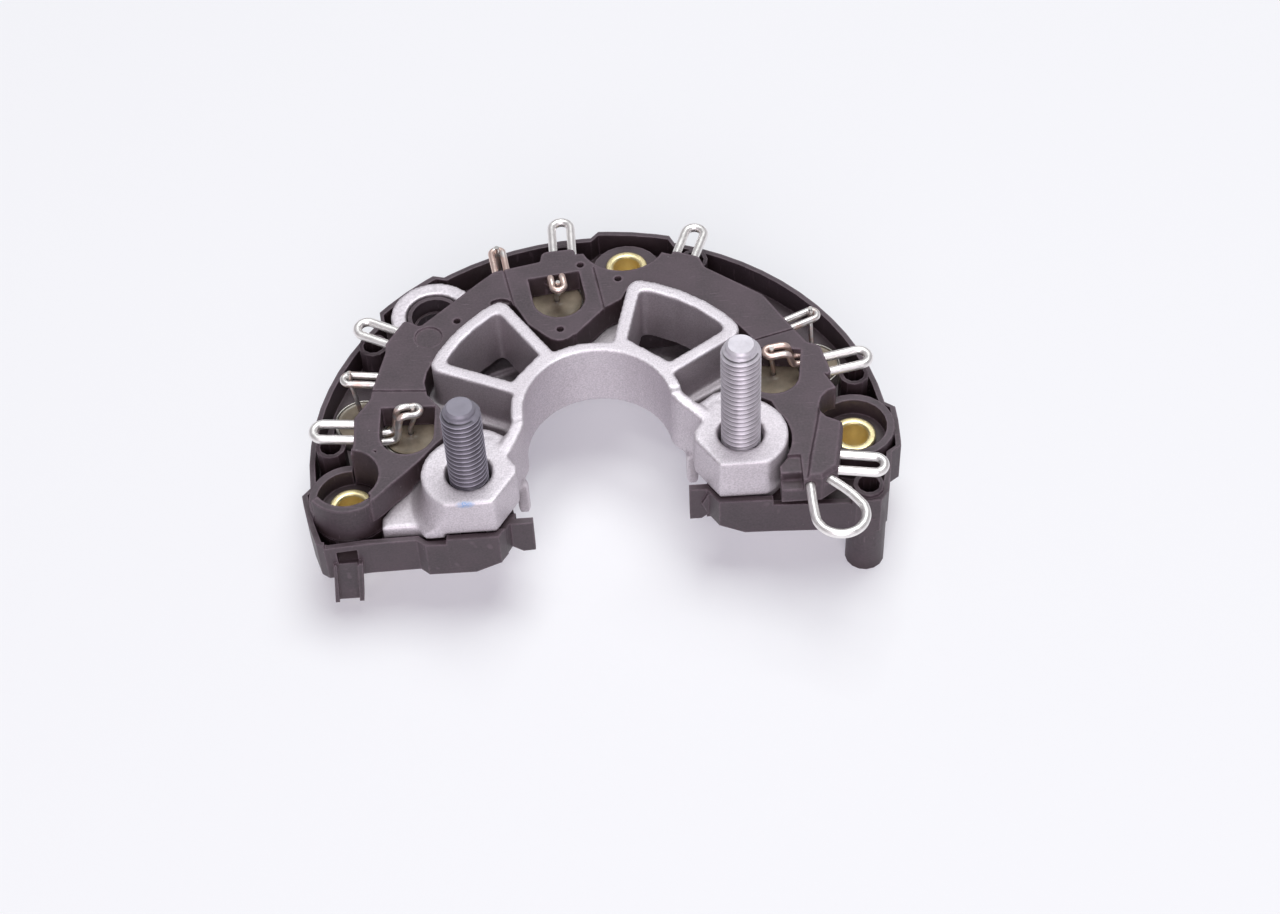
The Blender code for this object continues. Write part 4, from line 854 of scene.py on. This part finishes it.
def hairpin(legs, bend, half):
    """Wire path out along one leg, round its bend and back; legs are pairs of distance and height."""
    height = legs[-1][1]
    points = [(along, -half, level) for along, level in legs]
    points += [(x, y, height) for x, y in arc((bend, 0.0), half, -90.0, 90.0, 8)]
    return points + [(along, half, level) for along, level in reversed(legs)]


def loop_path(centre, heading):
    """Path of one stator loop, which lies flat at the board's edge."""
    legs = [(along, LOOP_Z) for along in (-LOOP_SOCKET, -1.0, 3.0)]
    return local_points(centre, heading, hairpin(legs, LOOP_REACH - LOOP_HALF, LOOP_HALF))


def clip_path(tip, heading, reach, eye_z, foot_z):
    """Path of one small clip, from its foot in the board round the lead and back."""
    legs = [(-reach - CLIP_SOCKET, foot_z), (-reach + 1.1, foot_z), (-reach + 2.5, eye_z)]
    return local_points(tip, heading, hairpin(legs, 0.2, CLIP_HALF))


def tap_path():
    """Path of the open eye at the right front end of the board."""
    plan = [*TAP_START, *arc(TAP_EYE, TAP_RADIUS, 190.0, 388.0, 13), *TAP_END]
    return [(x, y, LOOP_Z) for x, y in plan]


def wire(name, path, tree, radius, sides, material, spacing=WIRE_SPACING):
    """Wire of a radius along one path of the drawing."""
    values = {"Radius": radius * MM, "Spacing": spacing * MM, "Sides": sides, "Material": material}
    return run_tree(name, line_mesh(name + "_path", path), tree, values)


# operators

class RECTIFIER_OT_castings(bpy.types.Operator):
    """Round and finish the die-cast heat sink and the plate heat sink"""
    bl_idname = "rectifier.castings"
    bl_label = "Castings"

    def execute(self, context):
        sizes = context.scene.rectifier_sizes
        colours = context.scene.rectifier_colours
        colour = tuple(colours.cast)
        ink = tuple(colours.ink)
        cast = cast_aluminium("cast_aluminium", colour, ink, CAST_ROUGHNESS, 0.00035, 0.00006)
        pale = shade(colour, 1.08)
        plate = cast_aluminium("plate_aluminium", pale, ink, PLATE_ROUGHNESS, 0.0006, 0.00003)
        cast_copy("positive_heat_sink", "cast_heat_sink", "cast_aluminium", cast,
                  sizes.skin_step, sizes.skin_passes)
        cast_copy("negative_heat_sink", "plate_heat_sink", "plate_aluminium", plate,
                  sizes.skin_step, sizes.plate_passes)
        return {"FINISHED"}


class RECTIFIER_OT_mouldings(bpy.types.Operator):
    """Round and finish the tray, the bush in its ear and the wiring board"""
    bl_idname = "rectifier.mouldings"
    bl_label = "Mouldings"

    def execute(self, context):
        radius = context.scene.rectifier_sizes.moulded_radius
        colours = context.scene.rectifier_colours
        plastic = tuple(colours.plastic)
        dust = tuple(colours.dust)
        tray = moulded_plastic("tray_plastic", plastic, dust, TRAY_ROUGHNESS, radius)
        paler = shade(plastic, 1.05)
        board = moulded_plastic("board_plastic", paler, dust, BOARD_ROUGHNESS, 1.6 * radius)
        moulded_copy("insulator_tray", "moulded_tray", "tray_plastic", tray)
        moulded_copy("ear_liner", "moulded_liner", "tray_plastic", tray)
        moulded_copy("wiring_board", "moulded_board", "board_plastic", board)
        return {"FINISHED"}


class RECTIFIER_OT_wires(bpy.types.Operator):
    """Make the stator loops, the open eye and the small clips from round wire"""
    bl_idname = "rectifier.wires"
    bl_label = "Wires"

    def execute(self, context):
        sides = context.scene.rectifier_sizes.wire_sides
        colours = context.scene.rectifier_colours
        tin = tuple(colours.tin)
        copper = tuple(colours.copper)
        bright = tinned_wire("tinned_wire", tin, copper, 0.02, TIN_ROUGHNESS)
        dull = shade(tin, 0.9)
        coppery = {}
        for share in (0.5, 0.95):
            coppery[share] = tinned_wire("tinned_copper", dull, copper, share, COPPER_ROUGHNESS)
        tree = wire_tree()
        for index, (centre, heading) in enumerate(LOOPS, 1):
            path = loop_path(centre, heading)
            loop = wire("wire_loop_%d" % index, path, tree, WIRE_RADIUS, sides, bright)
            ride_for(loop, "tinned_wire", "stator_loop_%d" % index)
        tap = wire("wire_tap", tap_path(), tree, WIRE_RADIUS, sides, bright)
        ride_for(tap, "tinned_wire", "tap_loop")
        for name, tip, heading, reach, eye_z, foot_z, share in CLIPS:
            path = clip_path(tip, heading, reach, eye_z, foot_z)
            clip = wire("wire_" + name, path, tree, CLIP_RADIUS, sides, coppery[share], CLIP_SPACING)
            ride_for(clip, "tinned_copper", name)
        return {"FINISHED"}


class RECTIFIER_OT_studs(bpy.types.Operator):
    """Cut the threads of the two output studs"""
    bl_idname = "rectifier.studs"
    bl_label = "Studs"

    def execute(self, context):
        sizes = context.scene.rectifier_sizes
        colours = context.scene.rectifier_colours
        tree = thread_tree()
        for node, slot, colour, roughness, crest, metallic in STUDS:
            material = plated_steel(slot, tuple(getattr(colours, colour)), roughness,
                                    crest=crest, metallic=metallic)
            low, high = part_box(node)
            stud = run_tree("threaded_" + node, bpy.data.meshes.new(node), tree, {
                "Radius": STUD_RADIUS * MM,
                "Length": high.z - low.z,
                "Pitch": sizes.thread_pitch,
                "Depth": sizes.thread_depth,
                "Tip Radius": sizes.point_radius,
                "Tip Length": sizes.point_length,
                "Material": material})
            middle = box_middle(node)
            stud.data.transform(Matrix.Translation((middle.x, middle.y, low.z)))
            ride_for(stud, slot, node)
        return {"FINISHED"}


class RECTIFIER_OT_rivets(bpy.types.Operator):
    """Turn the three hollow rivets with their rolled flanges"""
    bl_idname = "rectifier.rivets"
    bl_label = "Rivets"

    def execute(self, context):
        colour = tuple(context.scene.rectifier_colours.passivation)
        material = plated_steel("yellow_zinc", colour, RIVET_ROUGHNESS, contrast=0.06, patches=0.006)
        for name, centre in RIVETS.items():
            bottom, top = levels(name)
            mesh = turned_mesh(name, centre, self.profile(bottom, top))
            ride_for(add_object("hollow_" + name, mesh, material), "yellow_zinc", name)
        return {"FINISHED"}

    def profile(self, bottom, top):
        """Tube with a flat flange below and a rolled flange above."""
        edge = 0.45
        roll = 0.7
        points = [(RIVET_BORE, bottom), (RIVET_FLANGE, bottom), (RIVET_FLANGE, bottom + 0.8),
                  (RIVET_TUBE, bottom + 0.8), (RIVET_TUBE, top - 1.0), (RIVET_FLANGE - 0.1, top - 1.0)]
        points += arc((RIVET_FLANGE - edge, top - edge), edge, 0.0, 90.0, 5)
        points += arc((RIVET_THROAT + roll, top - roll), roll, 90.0, 180.0, 6)
        return points + [(RIVET_THROAT, top - 2.6), (RIVET_BORE, top - 3.0)]


class RECTIFIER_OT_diodes(bpy.types.Operator):
    """Turn the six press-fit diodes and draw their leads"""
    bl_idname = "rectifier.diodes"
    bl_label = "Diodes"

    def execute(self, context):
        colours = context.scene.rectifier_colours
        steel = plated_steel("diode_can", tuple(colours.can), CAN_ROUGHNESS)
        resin = potting_resin("potting_resin", tuple(colours.resin))
        dull_tin = shade(colours.tin, 0.6)
        dull_copper = shade(colours.copper, 0.8)
        lead = tinned_wire("copper_lead", dull_tin, dull_copper, 0.6, LEAD_ROUGHNESS)
        tree = wire_tree()
        for kind in ("positive", "negative"):
            for index, (centre, tip) in enumerate(zip(DIODES[kind], LEAD_TIPS[kind]), 1):
                can = "%s_diode_can_%d" % (kind, index)
                bottom, rim = levels(can)
                mesh = turned_mesh(can, centre, self.can_profile(bottom, rim))
                ride_for(add_object("turned_" + can, mesh, steel), "diode_can", can)
                pot = "%s_diode_resin_%d" % (kind, index)
                mesh = turned_mesh(pot, centre, self.resin_profile(rim))
                ride_for(add_object("turned_" + pot, mesh, resin), "potting_resin", pot)
                tail = "%s_diode_lead_%d" % (kind, index)
                path = self.lead_path(centre, tip, rim, levels(tail)[1])
                stem = wire("wire_" + tail, path, tree, LEAD_RADIUS, LEAD_SIDES, lead, LEAD_SPACING)
                ride_for(stem, "copper_lead", tail)
        return {"FINISHED"}

    def can_profile(self, bottom, rim):
        """Cup with a rounded rim."""
        points = [(0, bottom), (CAN_RADIUS, bottom)]
        points += arc((CAN_RADIUS - CAN_RIM, rim - CAN_RIM), CAN_RIM, 0.0, 180.0, 6)
        return points + [(CAN_INNER, rim - 0.9), (0, rim - 0.9)]

    def resin_profile(self, rim):
        """Disc with a hollow surface that climbs the can and the lead, and a socket for the lead."""
        bottom = rim - 0.6
        points = [(0, bottom), (RESIN_RADIUS, bottom)]
        points += [(radius, rim + rise) for radius, rise in MENISCUS]
        return points + [(MENISCUS[-1][0], bottom + 0.3), (0, bottom + 0.3)]

    def lead_path(self, centre, tip, rim, top):
        """Path straight up out of the resin, across and up to the tip."""
        return [(*centre, rim - 0.1), (*centre, rim + 1.0), (*centre, rim + 1.9),
                (*tip, top - 3.4), (*tip, top - 2.0), (*tip, top)]


class RECTIFIER_OT_stage(bpy.types.Operator):
    """Set up the floor, the studio light and the camera"""
    bl_idname = "rectifier.stage"
    bl_label = "Stage"

    def execute(self, context):
        scene = context.scene
        half = FLOOR_HALF * MM
        low = -FLOOR_DROP * MM
        corners = [(-half, -half, low), (half, -half, low), (half, half, low), (-half, half, low)]
        floor_mesh = bpy.data.meshes.new("floor")
        floor_mesh.from_pydata(corners, [], [(0, 1, 2, 3)])
        floor = add_object("floor", floor_mesh, self.paper(tuple(scene.rectifier_colours.floor)))
        world = bpy.data.worlds.new("studio")
        scene.world = world
        world.use_nodes = True
        self.sky(world.node_tree)
        for name, position, side, power, colour in LAMPS:
            self.lamp(scene, name, position, side, power, colour)
        self.camera(scene)
        scene.view_settings.view_transform = "Standard"
        return {"FINISHED"}

    def sky(self, tree):
        """Dim even light all round, which the camera and shiny metal see as a pale backdrop."""
        back = tree.nodes["Background"]
        back.inputs["Color"].default_value = SKY_COLOUR
        rays = tree.nodes.new("ShaderNodeLightPath").outputs
        mirrored = math_node(tree, "MAXIMUM", rays["Is Glossy Ray"], rays["Is Transmission Ray"])
        mirrored = math_node(tree, "MULTIPLY", mirrored, SKY_MIRRORED)
        shown = math_node(tree, "MULTIPLY", rays["Is Camera Ray"], SKY_SHOWN)
        shown = math_node(tree, "ADD", shown, mirrored)
        tree.links.new(math_node(tree, "ADD", shown, SKY_LIGHT), back.inputs["Strength"])

    def paper(self, colour):
        """Matt white paper that keeps its shadows pale and isn't seen from below."""
        surface = Surface("floor_paper", PAPER_ROUGHNESS, 0.0)
        tree = surface.tree
        rays = tree.nodes.new("ShaderNodeLightPath").outputs
        seen = math_node(tree, "MAXIMUM", rays["Is Camera Ray"], rays["Is Glossy Ray"])
        seen = math_node(tree, "MAXIMUM", seen, rays["Is Transmission Ray"])
        glow = mix(tree, seen, (0.0, 0.0, 0.0), PAPER_GLOW)
        surface.shader.inputs["Emission Strength"].default_value = 1.0
        surface.shader.inputs["Specular IOR Level"].default_value = 0.2
        below = tree.nodes.new("ShaderNodeNewGeometry").outputs["Backfacing"]
        shown = math_node(tree, "SUBTRACT", 1.0, below)
        return surface.set(Base_Color=(*colour, 1.0), Emission_Color=glow, Alpha=shown)

    def lamp(self, scene, name, position, side, power, colour):
        """Soft square lamp that looks at the part."""
        data = bpy.data.lights.new(name, "AREA")
        data.energy = power
        data.size = side
        data.color = colour
        lamp = bpy.data.objects.new(name, data)
        lamp.location = position
        lamp.rotation_euler = (-Vector(position)).to_track_quat("-Z", "Y").to_euler()
        scene.collection.objects.link(lamp)

    def camera(self, scene):
        """Camera at the photograph's viewing angle."""
        elevation = math.radians(CAMERA_ELEVATION)
        azimuth = math.radians(CAMERA_AZIMUTH)
        roll = math.radians(CAMERA_ROLL)
        level = math.cos(elevation)
        back = Vector((math.sin(azimuth) * level, -math.cos(azimuth) * level, math.sin(elevation)))
        side = Vector((math.cos(azimuth), math.sin(azimuth), 0.0))
        rise = back.cross(side)
        right = side * math.cos(roll) + rise * math.sin(roll)
        up = rise * math.cos(roll) - side * math.sin(roll)
        data = bpy.data.cameras.new("camera")
        data.sensor_width = CAMERA_SENSOR
        data.lens = CAMERA_LENS
        data.clip_start = 0.01
        camera = bpy.data.objects.new("camera", data)
        turn = Matrix((right, up, back)).transposed().to_4x4()
        position = place(*CAMERA_TARGET) + back * (CAMERA_DISTANCE * MM)
        camera.matrix_world = Matrix.Translation(position) @ turn
        scene.collection.objects.link(camera)
        scene.camera = camera


OPERATORS = (RECTIFIER_OT_castings, RECTIFIER_OT_mouldings, RECTIFIER_OT_wires, RECTIFIER_OT_studs,
             RECTIFIER_OT_rivets, RECTIFIER_OT_diodes, RECTIFIER_OT_stage)


class RECTIFIER_PT_panel(bpy.types.Panel):
    """Lists the steps and the values that they use"""
    bl_label = "Rectifier"
    bl_idname = "RECTIFIER_PT_panel"
    bl_space_type = "VIEW_3D"
    bl_region_type = "UI"
    bl_category = "Rectifier"

    def draw(self, context):
        for group in (context.scene.rectifier_sizes, context.scene.rectifier_colours):
            for name in group.__annotations__:
                self.layout.prop(group, name)
        for operator in OPERATORS:
            self.layout.operator(operator.bl_idname)


CLASSES = (RectifierSizes, RectifierColours, *OPERATORS, RECTIFIER_PT_panel)


def register():
    """Register the classes and hang the values on the scene."""
    for cls in CLASSES:
        bpy.utils.register_class(cls)
    bpy.types.Scene.rectifier_sizes = PointerProperty(type=RectifierSizes)
    bpy.types.Scene.rectifier_colours = PointerProperty(type=RectifierColours)


def unregister():
    """Take the values and the classes away again."""
    del bpy.types.Scene.rectifier_colours
    del bpy.types.Scene.rectifier_sizes
    for cls in reversed(CLASSES):
        bpy.utils.unregister_class(cls)


def main():
    """Run every step in order."""
    register()
    bpy.ops.rectifier.castings()
    bpy.ops.rectifier.mouldings()
    bpy.ops.rectifier.wires()
    bpy.ops.rectifier.studs()
    bpy.ops.rectifier.rivets()
    bpy.ops.rectifier.diodes()
    bpy.ops.rectifier.stage()


if __name__ == "__main__":
    main()
